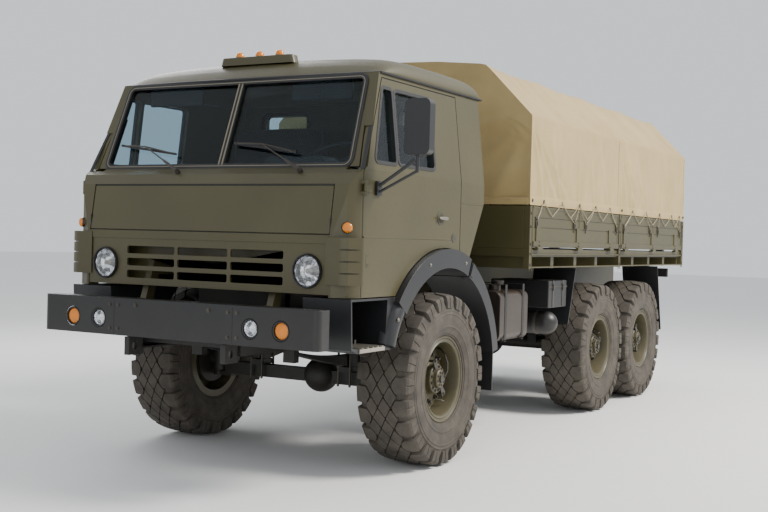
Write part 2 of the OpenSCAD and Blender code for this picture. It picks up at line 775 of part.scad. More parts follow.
deflector_z = sill_z + 80;
module corner_deflectors() color(olive) both_sides() {
    x = half_cab;
    difference() {
        translate([0, 0, deflector_z]) linear_extrude(293) polygon(concat(
            [[x - 185, nose_y - 4]], arc([x - 80, nose_y + 85], 110, 270, 306, 4),
            arc([x + 12, nose_y + 84], 30, -36, 0, 3), [[x + 42, nose_y + 100]],
            [[x + 24, nose_y + 100], [x + 20, nose_y + 78], [x - 72, nose_y + 3],
             [x - 120, nose_y - 5], [x - 160, nose_y - 2]]));
        for (k = [1 : 3])
            translate([0, 0, deflector_z + 73 * k - 4]) linear_extrude(8) polygon([
                [x - 120, nose_y - 40], [x - 68, nose_y - 19], [x + 26, nose_y + 55],
                [x + 60, nose_y + 70], [x + 60, nose_y - 40]]);
    }
    // stand-offs to the cab's corner
    for (z = [60, 220])
        difference() {
            block(x - 110, x - 70, nose_y + 2, nose_y + 60, deflector_z + z, deflector_z + z + 25);
            cab_form(0, sill_z, belt_z);
        }
}

step_z = axle_z + 260;
step_front = -1255;
module cab_fenders() color(black) both_sides() {
    hoop(arch_r, arch_r + 12, fender_x0, fender_x1 - 30, arch_split, arch_front);
    hoop(arch_r, lip_r, fender_x1 - 90, fender_x1, arch_split, arch_front - 14);
    // step housing: open on its outer side
    difference() {
        along_x(fender_x0, half_cab) polygon([
            [step_front, sill_z - 5], [step_front + 20, step_z + 25], [step_front + 100, step_z],
            [-680, step_z], [-560, sill_z - 5]]);
        along_x(fender_x0 + 15, half_cab + 1) polygon([
            [step_front + 15, sill_z - 20], [step_front + 34, step_z + 40],
            [step_front + 110, step_z + 30], [-820, step_z + 30], [-800, sill_z - 20]]);
        about_x(0, 0, axle_z) cylinder(r = arch_r + 6, h = 2000, $fn = 180);
    }
}

module side_lamp() {
    translate([half_cab - 78, nose_y + 60, sill_z + 435]) rotate([90, 0, 45]) children();
}

module cab_lamps() {
    both_sides() {
        color(clear) rod([head_x, nose_y - 5, lamp_house_z], [head_x, nose_y + 70, lamp_house_z],
                         headlamp_r);
        color(amber) difference() {
            side_lamp() cylinder(r = 30, h = 60);
            cab_form(0, sill_z, belt_z);
        }
    }
    color(black) difference() {
        block(-300, 300, -730, -620, gutter_z + 100, roof_z - 5);
        roof_form(0);
    }
    color(amber) for (x = [-170, 0, 170])
        translate([x, -675, roof_z - 5]) cylinder(r = 32, h = 45);
}

module screen_slab(z0, z1) {
    along_x(-half_cab, half_cab) polygon([
        [screen_y(z0) + 16, z0], [screen_y(z1) + 16, z1],
        [screen_y(z1) + 16 + glass_t, z1], [screen_y(z0) + 16 + glass_t, z0]]);
}

module cab_glass() color(glass) both_sides() {
    intersection() {
        screen_slab(screen_z0, screen_z1);
        along_y(nose_y, -700) polygon(screen_pane(0));
    }
    along_y(cab_rear - wall / 2 - glass_t / 2, cab_rear - wall / 2 + glass_t / 2)
        polygon(rear_pane(0));
}

module dashboard() color(black) {
    along_x(-half_cab + 75, half_cab - 75) polygon(rounded([
        [nose_y + 170, belt_z - 300], [nose_y + 170, belt_z - 22], [-1000, belt_z + 8],
        [-880, belt_z - 5], [-800, belt_z - 80], [-850, belt_z - 300]], 15, 3));
}

wheel_x = 560;
wheel_y = -590;
wheel_z = belt_z + 70;
wheel_tilt = 38;
module steering_wheel() color(black) {
    translate([wheel_x, wheel_y, wheel_z]) rotate([wheel_tilt, 0, 0]) {
        rotate_extrude() translate([235, 0]) circle(r = 15);
        for (a = [30, 150, 270]) rotate([0, 0, a]) block(0, 232, -14, 14, -12, 0);
        translate([0, 0, -40]) cylinder(r = 60, h = 50);
    }
    rod([wheel_x, wheel_y, wheel_z - 10], [wheel_x, wheel_y - 60, floor_z + 8], 28);
}

// Cushion, backrest and pedestal of one seat
module seat(x0, x1) {
    block(x0 + 60, x1 - 60, -170, 230, floor_z, floor_z + 300);
    along_x(x0, x1) polygon(rounded(rect(-260, 250, floor_z + 300, floor_z + 430), 40, 3));
    along_x(x0, x1) polygon(rounded([[215, floor_z + 440], [340, floor_z + 440],
        [430, floor_z + 1010], [330, floor_z + 1010]], 40, 3));
    block(x0 + 80, x1 - 80, 252, 290, floor_z + 200, floor_z + 460);
}

module seats() color("#4a4a4c") {
    seat(300, 830);
    seat(-960, -60);
}

// ---- Doors ----

module door() {
    difference() {
        intersection() {
            cab_form(0, sill_z - 50, gutter_z);
            flank_skin(0, door_t);
            along_x(half_cab - 150, half_cab + 1) door_outline(0);
        }
        along_x(half_cab - 200, half_cab + 1) polygon(quarter_pane(0));
        along_x(half_cab - 200, half_cab + 1) polygon(main_pane(0));
    }
    for (z = door_hinge_z) door_hinge_leaf(z);
}

module door_glass() {
    intersection() {
        flank_skin(door_t / 2 - glass_t / 2, door_t / 2 + glass_t / 2);
        along_x(half_cab - 200, half_cab + 1) {
            polygon(quarter_pane(0));
            polygon(main_pane(0));
        }
    }
}

module left_door() color(olive) door();
module right_door() color(olive) mirror([1, 0, 0]) door();
module left_door_glass() color(glass) door_glass();
module right_door_glass() color(glass) mirror([1, 0, 0]) door_glass();

mirror_z = belt_z + 45;
module left_mirror() color(black) {
    x = half_cab;
    block(x, x + 18, -1000, -940, belt_z - 170, belt_z - 80);
    rod([x + 12, -970, belt_z - 110], [x + 250, -935, mirror_z + 10], 11);
    rod([x + 12, -970, belt_z - 150], [x + 262, -935, mirror_z - 60], 9);
    rod([x + 262, -935, mirror_z - 70], [x + 262, -935, mirror_z + 90], 11);
    translate([0, -960, 0]) along_y(0, 70) polygon(rounded(
        rect(x + 175, x + 355, mirror_z + 40, mirror_z + 390), 40, 4));
}

// ---- Bed ----

bed_y0 = cab_rear + bed_gap;
bed_y1 = frame_end + 30;
bed_low = axle_z + tyre_r + 160;
bed_z = bed_low + 160;
board_low = bed_z + 15;
board_top = board_low + board_h;
half_bed = bed_w / 2;
post_t = 62;
post_mid = (bed_y0 + bed_y1) / 2 - 35;
post_y = [bed_y0, post_mid, bed_y1 - post_t];
board_out = half_bed - 5;
board_hinge_x = board_out + 20;
board_hinge_z = bed_z + 5;
board_pin_r = 8;
gate_y = bed_y1 + 45;
gate_hinge_y = gate_y + 20;
hinge_share = [0.05, 0.48, 0.88];

function board_y(front) = front ? [bed_y0 + post_t + 8, post_mid - 8]
                                : [post_mid + post_t + 8, bed_y1 - post_t - 8];
function hinges(front) = [for (s = hinge_share)
    board_y(front)[0] + s * (board_y(front)[1] - board_y(front)[0])];

// Pin and its two lugs, outside the bed's edge, along +Y
module hinge_lugs(len, reach) {
    translate([0, len / 2, 0]) rotate([90, 0, 0]) cylinder(r = board_pin_r, h = len);
    for (y = [-len / 2, len / 2 - 12]) {
        translate([0, y + 12, 0]) rotate([90, 0, 0]) cylinder(r = 13, h = 12);
        block(-reach, 0, y, y + 12, -13, 5);
    }
}

module hinge_barrel(len) {
    difference() {
        union() {
            translate([0, len / 2, 0]) rotate([90, 0, 0]) cylinder(r = 13, h = len);
            block(-20, -11, -len / 2, len / 2, 0, board_h * 0.55);
            block(-20, 0, -len / 2, len / 2, 0, 11);
        }
        translate([0, len, 0]) rotate([90, 0, 0])
            cylinder(r = board_pin_r + pin_gap, h = 2 * len);
    }
}

module bed_platform() color(olive) {
    // floor and its edge rail
    block(-board_out + 10, board_out - 10, bed_y0, bed_y1, bed_low + 96, bed_z);
    // cross bearers, sills on the frame
    bearers = 8;
    for (i = [0 : bearers]) {
        y = bed_y0 + 30 + (bed_y1 - bed_y0 - 130) * i / bearers;
        block(-board_out + 40, board_out - 40, y, y + 70, bed_low, bed_low + 96);
    }
    both_sides() {
        block(half_frame - 80, half_frame, bed_y0, frame_end, rail_top, bed_low);
        block(half_frame - 80, half_frame, bed_y0, bed_y1, bed_low, bed_low + 96);
        // feet of the posts
        for (y = post_y) block(half_bed - 50, half_bed, y, y + post_t, bed_low, bed_z);
        for (f = [true, false]) for (y = hinges(f))
            translate([board_hinge_x, y, board_hinge_z]) hinge_lugs(110, 30);
        translate([0, gate_hinge_y, board_hinge_z]) rotate([0, 0, 90])
            for (x = [350, 950]) translate([0, -x, 0]) hinge_lugs(110, gate_hinge_y - bed_y1);
    }
}

// Posts and front wall, standing on the bed
module bed_posts() color(olive) {
    both_sides() for (y = post_y)
        block(half_bed - 50, half_bed, y, y + post_t, bed_z, board_top);
    block(51 - half_bed, half_bed - 51, bed_y0, bed_y0 + 40, bed_z, board_top);
}

// One drop side: boards, ribs and hinge straps, its hinge along +Y at the origin's height
module drop_side(front) {
    y = board_y(front);
    difference() {
        block(board_out - board_t, board_out, y[0], y[1], board_low, board_top);
        for (z = [0.47, 0.71]) block(board_out - 6, board_out + 1, y[0] - 1, y[1] + 1,
            board_low + z * board_h, board_low + z * board_h + 8);
    }
    for (h = hinges(front))
        translate([board_hinge_x, h, board_hinge_z]) hinge_barrel(80);
}

module left_front_side() color(olive) drop_side(true);
module left_rear_side() color(olive) drop_side(false);
module right_front_side() color(olive) mirror([1, 0, 0]) drop_side(true);
module right_rear_side() color(olive) mirror([1, 0, 0]) drop_side(false);

module tailgate() color(olive) {
    w = half_bed - 60;
    difference() {
        block(-w, w, gate_y - board_t, gate_y, board_low, board_top);
        for (z = [0.47, 0.71]) block(-w - 1, w + 1, gate_y - 6, gate_y + 1,
            board_low + z * board_h, board_low + z * board_h + 8);
    }
    both_sides() for (x = [350, 950])
        translate([x, gate_hinge_y, board_hinge_z]) rotate([0, 0, 90]) hinge_barrel(80);
}

hem_z = board_top + 10;
eave_z = hem_z + tent_wall;
ridge_z = eave_z + tent_rise;

// The canvas' section, drawn in by its thickness
function tent_section(t) = [
    [half_bed - t, hem_z], [half_bed - t, eave_z - t / 3],
    [half_bed * 0.66, eave_z + tent_rise * 0.88 - t],
    [half_bed * 0.3, ridge_z - 14 - t], [0, ridge_z - t], [-half_bed * 0.3, ridge_z - 14 - t],
    [-half_bed * 0.66, eave_z + tent_rise * 0.88 - t],
    [t - half_bed, eave_z - t / 3], [t - half_bed, hem_z]];

module canvas_tent() color(canvas) difference() {
    along_y(bed_y0, bed_y1) polygon(tent_section(0));
    translate([0, 0, -1]) along_y(bed_y0 + tent_t, bed_y1 - tent_t) polygon(tent_section(tent_t));
}

chassis_frame();
frame_brackets();
tow_fittings();
front_bumper();
bumper_lamps();
front_axle();
rear_axles();
leaf_springs();
engine();
driveline();
muffler();
fuel_tanks();
battery_box();
air_tank();
mudguards();
tail_lamps();
spare_tyre();
spare_rim();
left_knuckle();
right_knuckle();
tie_rod();
cab_shell();
cab_roof();
front_grille();
front_flap();
corner_deflectors();
cab_fenders();
cab_lamps();
cab_glass();
dashboard();
steering_wheel();
seats();
left_door();
right_door();
left_door_glass();
right_door_glass();
left_mirror();
bed_platform();
bed_posts();
canvas_tent();
left_front_side();
left_rear_side();
right_front_side();
right_rear_side();
tailgate();
front_left_tyre();
front_right_tyre();
middle_left_tyre();
middle_right_tyre();
rear_left_tyre();
rear_right_tyre();
front_left_rim();
front_right_rim();
middle_left_rim();
middle_right_rim();
rear_left_rim();
rear_right_rim();
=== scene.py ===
"""Looks of a three-axle army cargo truck with a tilting cab and a canvas tilt.

Metres. The origin is on the ground under the middle of the front axle; -Y is forward, +X is
the truck's left and +Z is up.
"""

import json
import math

import bmesh
import bpy
from mathutils import Matrix, Vector


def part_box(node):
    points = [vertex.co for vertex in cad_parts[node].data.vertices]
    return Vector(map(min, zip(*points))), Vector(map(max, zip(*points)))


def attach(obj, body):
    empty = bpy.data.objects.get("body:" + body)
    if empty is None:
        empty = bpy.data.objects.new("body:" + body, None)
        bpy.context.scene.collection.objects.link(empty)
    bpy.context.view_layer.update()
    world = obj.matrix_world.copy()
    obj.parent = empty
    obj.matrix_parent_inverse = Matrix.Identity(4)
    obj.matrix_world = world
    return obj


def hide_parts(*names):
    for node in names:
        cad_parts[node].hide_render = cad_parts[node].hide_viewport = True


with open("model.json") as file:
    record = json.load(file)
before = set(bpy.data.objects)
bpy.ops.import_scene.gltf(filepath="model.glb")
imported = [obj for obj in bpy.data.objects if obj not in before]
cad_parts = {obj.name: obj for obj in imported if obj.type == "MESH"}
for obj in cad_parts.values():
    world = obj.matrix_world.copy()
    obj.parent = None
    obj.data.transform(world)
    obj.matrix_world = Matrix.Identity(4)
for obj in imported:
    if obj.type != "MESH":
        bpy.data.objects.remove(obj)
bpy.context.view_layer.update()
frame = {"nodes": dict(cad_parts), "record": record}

WHEELS = [f"{row}_{side}" for row in ("front", "middle", "rear") for side in ("left", "right")]
BOARDS = [f"{side}_{part}_side" for side in ("left", "right") for part in ("front", "rear")]
SIDES = (1, -1)
NAMES = {1: "left", -1: "right"}


# ---- Materials ----

def new_material(name):
    """A material with its tree and its shader."""
    material = bpy.data.materials.new(name)
    material.use_nodes = True
    tree = material.node_tree
    return material, tree, tree.nodes["Principled BSDF"]


def add_node(tree, kind, **values):
    """A shader node. A value that is a socket is linked, and _ in an input's name is a space."""
    node = tree.nodes.new(f"ShaderNode{kind}")
    for name, value in values.items():
        socket = node.inputs[name.replace("_", " ")]
        if isinstance(value, bpy.types.NodeSocket):
            tree.links.new(value, socket)
        else:
            socket.default_value = value
    return node


def noise(tree, scale, detail=4.0, rough=0.55):
    """A noise value over the object's own coordinates."""
    place = add_node(tree, "TexCoord").outputs["Object"]
    return add_node(tree, "TexNoise", Vector=place, Scale=scale, Detail=detail,
                    Roughness=rough).outputs["Fac"]


def ramp(tree, value, stops):
    """A colour ramp over a value; stops are (position, colour)."""
    node = add_node(tree, "ValToRGB", Fac=value)
    elements = node.color_ramp.elements
    while len(elements) < len(stops):
        elements.new(0.5)
    for element, (position, colour) in zip(elements, stops):
        element.position = position
        element.color = (*colour, 1)
    return node.outputs["Color"]


def span(tree, value, low, high, out_low, out_high):
    """A value moved from one range to another, and held at its ends."""
    return add_node(tree, "MapRange", Value=value, From_Min=low, From_Max=high,
                    To_Min=out_low, To_Max=out_high).outputs["Result"]


def mix(tree, share, first, second):
    """Two colours mixed by a value."""
    node = tree.nodes.new("ShaderNodeMix")
    node.data_type = "RGBA"
    tree.links.new(share, node.inputs["Factor"])
    for socket, colour in ((node.inputs["A"], first), (node.inputs["B"], second)):
        if isinstance(colour, tuple):
            socket.default_value = (*colour, 1)
        else:
            tree.links.new(colour, socket)
    return node.outputs["Result"]


def height(tree):
    """The point's height above the ground at rest."""
    place = add_node(tree, "TexCoord").outputs["Object"]
    return add_node(tree, "SeparateXYZ", Vector=place).outputs["Z"]


def bump(tree, shader, value, strength, distance=0.002):
    """A bump from a value."""
    node = add_node(tree, "Bump", Strength=strength, Distance=distance, Height=value)
    tree.links.new(node.outputs["Normal"], shader.inputs["Normal"])


def finish_of(name, light, dark, rough, grain=60.0, dust=None, metal=0.0, bumpy=0.05):
    """A coat with faint clouding, fine grain and, if asked, dust that gathers low down."""
    material, tree, shader = new_material(name)
    colour = ramp(tree, noise(tree, 1.7), [(0.3, dark), (0.7, light)])
    if dust is not None:
        tone, most, low, high = dust
        share = span(tree, height(tree), low, high, most, 0.0)
        patchy = span(tree, noise(tree, 5.0, 6.0, 0.7), 0.35, 0.65, 0.35, 1.0)
        both = add_node(tree, "Math")
        both.operation = "MULTIPLY"
        tree.links.new(share, both.inputs[0])
        tree.links.new(patchy, both.inputs[1])
        colour = mix(tree, both.outputs["Value"], colour, tone)
    tree.links.new(colour, shader.inputs["Base Color"])
    grainy = noise(tree, grain, 3.0)
    tree.links.new(span(tree, grainy, 0.3, 0.7, rough - 0.05, rough + 0.05),
                   shader.inputs["Roughness"])
    shader.inputs["Metallic"].default_value = metal
    bump(tree, shader, grainy, bumpy)
    return material


def plain(name, colour, rough, metal=0.0):
    """A coat of one tone, with a little grain in its roughness."""
    material, tree, shader = new_material(name)
    shader.inputs["Base Color"].default_value = (*colour, 1)
    shader.inputs["Metallic"].default_value = metal
    tree.links.new(span(tree, noise(tree, 40.0), 0.3, 0.7, rough * 0.9, rough * 1.1),
                   shader.inputs["Roughness"])
    return material


def lens(name, colour, rough, through):
    """A clear or tinted lens."""
    material, tree, shader = new_material(name)
    shader.inputs["Base Color"].default_value = (*colour, 1)
    shader.inputs["Transmission Weight"].default_value = through
    shader.inputs["IOR"].default_value = 1.45
    tree.links.new(span(tree, noise(tree, 25.0), 0.3, 0.7, rough, rough + 0.03),
                   shader.inputs["Roughness"])
    return material


DUST = (0.2, 0.165, 0.115)
OLIVE = finish_of("olive", (0.066, 0.058, 0.022), (0.054, 0.047, 0.018), 0.4,
                  dust=(DUST, 0.1, 0.9, 1.7))
OLIVE_DUSTY = finish_of("olive_dusty", (0.064, 0.057, 0.025), (0.048, 0.043, 0.019), 0.46,
                        dust=(DUST, 0.3, 0.3, 1.0))
# The next coat is a slightly darker, greyer and rougher copy of the olive, without dust: painted
# shade, used in the door handles' recesses and on the bows under the canvas.
OLIVE_SHADED = finish_of("olive_painted_shade", (0.06, 0.055, 0.03), (0.045, 0.042, 0.025), 0.6)
BLACK = finish_of("black_paint", (0.011, 0.0115, 0.013), (0.007, 0.007, 0.008), 0.42,
                  dust=(DUST, 0.1, 0.6, 1.3))
CHASSIS = finish_of("chassis_black", (0.014, 0.013, 0.012), (0.009, 0.009, 0.008), 0.55,
                    dust=(DUST, 0.12, 0.2, 1.0))
PLASTIC = finish_of("black_plastic", (0.016, 0.0165, 0.018), (0.011, 0.0115, 0.013), 0.38,
                    grain=90.0, bumpy=0.12)
BRONZE = finish_of("tank_bronze", (0.06, 0.045, 0.034), (0.032, 0.024, 0.02), 0.36,
                   metal=0.35)
RUBBER = plain("gasket_rubber", (0.012, 0.012, 0.013), 0.5)
STEEL = finish_of("bare_steel", (0.36, 0.34, 0.3), (0.22, 0.2, 0.17), 0.38, metal=0.85)
DARK_STEEL = finish_of("dark_steel", (0.09, 0.082, 0.07), (0.05, 0.045, 0.038), 0.45, metal=0.6)
CAST = finish_of("cast_metal", (0.055, 0.05, 0.045), (0.03, 0.028, 0.025), 0.6, metal=0.3)
STEP_METAL = finish_of("step_plate", (0.42, 0.39, 0.33), (0.28, 0.25, 0.2), 0.45, metal=0.5)
REFLECTOR = plain("lamp_reflector", (0.82, 0.83, 0.85), 0.16, 1.0)
CLEAR = lens("clear_lens", (0.95, 0.97, 1.0), 0.04, 0.92)
AMBER = lens("amber_lens", (0.95, 0.3, 0.03), 0.12, 0.35)
RED = lens("red_lens", (0.6, 0.03, 0.02), 0.15, 0.2)
MIRROR = plain("mirror_glass", (0.75, 0.78, 0.8), 0.04, 1.0)
SEAT = finish_of("seat_cloth", (0.04, 0.04, 0.045), (0.025, 0.025, 0.03), 0.85, grain=160.0,
                 bumpy=0.3)
DASH = plain("dashboard_plastic", (0.03, 0.032, 0.035), 0.55)
ROPE = plain("lacing_cord", (0.3, 0.25, 0.17), 0.8)


def glass_material():
    """Slightly blue, dark safety glass."""
    material, tree, shader = new_material("window_glass")
    shader.inputs["Base Color"].default_value = (0.5, 0.62, 0.68, 1)
    shader.inputs["Transmission Weight"].default_value = 1.0
    shader.inputs["IOR"].default_value = 1.25
    tree.links.new(span(tree, noise(tree, 3.0), 0.3, 0.7, 0.0, 0.008),
                   shader.inputs["Roughness"])
    return material


def tyre_material():
    """Black rubber under patchy brown-grey dust."""
    material, tree, shader = new_material("tyre_rubber")
    patchy = noise(tree, 9.0, 6.0, 0.65)
    colour = ramp(tree, patchy, [(0.25, (0.032, 0.027, 0.022)), (0.55, (0.068, 0.058, 0.046)),
                                 (0.8, (0.1, 0.087, 0.07))])
    tree.links.new(colour, shader.inputs["Base Color"])
    grainy = noise(tree, 120.0, 3.0)
    tree.links.new(span(tree, grainy, 0.3, 0.7, 0.72, 0.88), shader.inputs["Roughness"])
    bump(tree, shader, grainy, 0.25)
    return material


def canvas_material():
    """Woven tan canvas, its tone a little clouded."""
    material, tree, shader = new_material("canvas_cloth")
    cloud = noise(tree, 2.2, 5.0, 0.6)
    colour = ramp(tree, cloud, [(0.3, (0.35, 0.255, 0.105)), (0.7, (0.42, 0.315, 0.14))])
    tree.links.new(colour, shader.inputs["Base Color"])
    weave = noise(tree, 260.0, 2.0)
    tree.links.new(span(tree, weave, 0.3, 0.7, 0.82, 0.92), shader.inputs["Roughness"])
    shader.inputs["Sheen Weight"].default_value = 0.15
    bump(tree, shader, weave, 0.25, 0.001)
    return material


GLASS = glass_material()
TYRE = tyre_material()
CANVAS = canvas_material()


# ---- Building helpers ----


def place(name, mesh, material, body, edge=0.0, angle=35.0, slot=None):
    """An object made of a mesh: coated, its edges rounded, smooth up to an angle, on a body.

    Its slot argument is not used.
    """
    obj = bpy.data.objects.new(name, mesh)
    bpy.context.scene.collection.objects.link(obj)
    mesh.materials.clear()
    mesh.materials.append(material)
    for polygon in mesh.polygons:
        polygon.use_smooth = True
    if edge > 0:
        bevel = obj.modifiers.new("rounded_edges", "BEVEL")
        bevel.limit_method = "ANGLE"
        bevel.angle_limit = math.radians(angle)
        bevel.width = edge
        bevel.segments = 2
        bevel.harden_normals = True
        bevel.miter_outer = "MITER_ARC"
        weighted = obj.modifiers.new("flat_faces_stay_flat", "WEIGHTED_NORMAL")
        weighted.weight = 100
        weighted.keep_sharp = True
    else:
        mesh.set_sharp_from_angle(angle=math.radians(angle))
    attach(obj, body)
    return obj


def from_bmesh(name, bm, material, body, edge=0.0, angle=35.0, slot=None):
    """A bmesh turned into a placed object."""
    bmesh.ops.recalc_face_normals(bm, faces=bm.faces)
    mesh = bpy.data.meshes.new(name)
    bm.to_mesh(mesh)
    bm.free()
    return place(name, mesh, material, body, edge, angle, slot)


def turned_mesh(name, bm, material, angle):
    """A bmesh made into a smooth mesh that several objects copy."""
    bmesh.ops.recalc_face_normals(bm, faces=bm.faces)
    mesh = bpy.data.meshes.new(name)
    bm.to_mesh(mesh)
    bm.free()
    mesh.materials.append(material)
    mesh.polygons.foreach_set("use_smooth", [True] * len(mesh.polygons))
    mesh.set_sharp_from_angle(angle=math.radians(angle))
    return mesh


def cleaned(node):
    """A CAD node's mesh as a bmesh, its flat faces made whole again."""
    bm = bmesh.new()
    bm.from_mesh(frame["nodes"][node].data)
    bmesh.ops.remove_doubles(bm, verts=bm.verts, dist=1e-5)
    bmesh.ops.dissolve_limit(bm, angle_limit=math.radians(1.0), verts=bm.verts,
                             edges=bm.edges, delimit=set())
    return bm


def rounded(node, material, edge, angle=35.0):
    """The CAD node's own shape with rounded edges, shown in its place."""
    obj = from_bmesh(f"{node}_look", cleaned(node), material, body_of(node), edge, angle, "")
    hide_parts(node)


def body_of(node):
    """The CAD body that a node belongs to."""
    return next(b for b, ns in frame["record"]["behaviour"]["bodies"].items() if node in ns)


def coat(node, material, angle=35.0):
    """A CAD node shown as it is, in a material."""
    obj = frame["nodes"][node]
    obj.data.materials.clear()
    obj.data.materials.append(material)
    for polygon in obj.data.polygons:
        polygon.use_smooth = True
        polygon.material_index = 0
    obj.data.set_sharp_from_angle(angle=math.radians(angle))


def along(start, end):
    """A matrix that takes +Z from the origin to the line from start to end."""
    start, end = Vector(start), Vector(end)
    turn = (end - start).to_track_quat("Z", "Y").to_matrix().to_4x4()
    return Matrix.Translation(start) @ turn


def add_box(bm, low, high):
    """A box between two corners."""
    low, high = Vector(low), Vector(high)
    centre = Matrix.Translation((low + high) / 2)
    size = Matrix.Diagonal((*(high - low), 1))
    bmesh.ops.create_cube(bm, size=1, matrix=centre @ size)


def add_rod(bm, start, end, radius, sides=16):
    """A round rod between two points."""
    length = (Vector(end) - Vector(start)).length
    middle = along(start, end) @ Matrix.Translation((0, 0, length / 2))
    bmesh.ops.create_cone(bm, cap_ends=True, segments=sides, radius1=radius,
                          radius2=radius, depth=length, matrix=middle)


def add_lathe(bm, profile, origin, axis, sides=48):
    """A profile of (radius, distance along the axis) turned around an axis."""
    turn = along(origin, Vector(origin) + Vector(axis))
    rings = []
    for radius, distance in profile:
        if radius < 1e-5:
            rings.append([bm.verts.new(turn @ Vector((0, 0, distance)))])
        else:
            rings.append([bm.verts.new(turn @ Vector((
                radius * math.cos(2 * math.pi * k / sides),
                radius * math.sin(2 * math.pi * k / sides), distance))) for k in range(sides)])
    for lower, upper in zip(rings, rings[1:]):
        for k in range(sides):
            corners = [lower[k % len(lower)], lower[(k + 1) % len(lower)],
                       upper[(k + 1) % len(upper)], upper[k % len(upper)]]
            unique = list(dict.fromkeys(corners))
            if len(unique) > 2:
                bm.faces.new(unique)


def add_tube(bm, points, radius, sides=8, closed=False):
    """A round tube through points, its ends capped."""
    points = [Vector(p) for p in points]
    count = len(points)
    rings = []
    side = None
    for i, point in enumerate(points):
        before = points[i - 1] if (i > 0 or closed) else points[i]
        after = points[(i + 1) % count] if (i < count - 1 or closed) else points[i]
        ahead = (after - before).normalized()
        if side is None:
            side = ahead.orthogonal().normalized()
        side = (side - ahead * side.dot(ahead)).normalized()
        other = ahead.cross(side)
        rings.append([bm.verts.new(point + radius * (
            side * math.cos(2 * math.pi * k / sides) + other * math.sin(2 * math.pi * k / sides)))
            for k in range(sides)])
    pairs = list(zip(rings, rings[1:])) + ([(rings[-1], rings[0])] if closed else [])
    for lower, upper in pairs:
        for k in range(sides):
            bm.faces.new([lower[k], lower[(k + 1) % sides], upper[(k + 1) % sides], upper[k]])
    if not closed:
        bm.faces.new(rings[0][::-1])
        bm.faces.new(rings[-1])


def add_ring(bm, at, across, wide, tall, thick):
    """An upright ring round a point; its width runs along a direction."""
    up = Vector((0, 0, 1))
    add_tube(bm, [at + across * (wide * math.cos(a)) + up * (tall * math.sin(a)) for a in
                  (k * math.pi / 7 for k in range(14))], thick, 6, closed=True)


def add_faceted_lens(bm, centre, stations, ripple, sides, tip=None):
    """A lens that faces forward, rippled round its rim; stations are (radius, depth)."""
    x, y, z = centre
    rings = [[bm.verts.new((x + radius * math.cos(2 * math.pi * k / sides),
                            y + depth + (ripple if k % 2 else 0.0),
                            z + radius * math.sin(2 * math.pi * k / sides)))
              for k in range(sides)] for radius, depth in stations]
    for outer, inner in zip(rings, rings[1:]):
        for k in range(sides):
            n = (k + 1) % sides
            bm.faces.new([outer[k], outer[n], inner[n], inner[k]])
    if tip is None:
        bm.faces.new(rings[-1])
    else:
        end = bm.verts.new((x, y + tip, z))
        for k in range(sides):
            bm.faces.new([rings[-1][k], rings[-1][(k + 1) % sides], end])


def add_bolt(bm, at, out, radius=0.011, tall=0.009):
    """A hexagon bolt head with a washer, standing out along a direction."""
    at, out = Vector(at), Vector(out).normalized()
    add_rod(bm, at - out * 0.004, at + out * tall * 0.3, radius * 1.45, 12)
    add_rod(bm, at, at + out * tall, radius, 6)


def add_band(bm, sections, closed=False):
    """A solid swept through sections of the same number of corners."""
    rings = [[bm.verts.new(c) for c in section] for section in sections]
    n = len(rings[0])
    pairs = list(zip(rings, rings[1:])) + ([(rings[-1], rings[0])] if closed else [])
    for lower, upper in pairs:
        for k in range(n):
            bm.faces.new([lower[k], lower[(k + 1) % n], upper[(k + 1) % n], upper[k]])
    if not closed:
        bm.faces.new(rings[0][::-1])
        bm.faces.new(rings[-1])


# ---- Wheels ----

TYRE_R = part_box("front_left_tyre")[1].z / 2
TYRE_HALF = (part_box("front_left_tyre")[1].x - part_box("front_left_tyre")[0].x) / 2
LUGS = 24
LUG_TURN = 2 * math.pi / LUGS


def tread_top(x):
    """The tread's radius at a distance from the middle plane."""
    return TYRE_R - 0.016 * (x / TYRE_HALF) ** 2


def add_block(bm, outline, deep=0.021, grow=1.07):
    """A tread block; its outline is in (distance across, angle round the tyre)."""
    centre_x = sum(p[0] for p in outline) / len(outline)
    centre_a = sum(p[1] for p in outline) / len(outline)
    rings = []
    for scale, lift in ((grow, -deep), (1.0, 0.0)):
        ring = []
        for x, a in outline:
            across = centre_x + (x - centre_x) * scale
            turn = centre_a + (a - centre_a) * scale
            radius = tread_top(x) + lift
            ring.append(bm.verts.new((radius * math.cos(turn), radius * math.sin(turn), across)))
        rings.append(ring)
    n = len(outline)
    for k in range(n):
        bm.faces.new([rings[0][k], rings[0][(k + 1) % n], rings[1][(k + 1) % n], rings[1][k]])
    bm.faces.new(rings[1])
    bm.faces.new(rings[0][::-1])


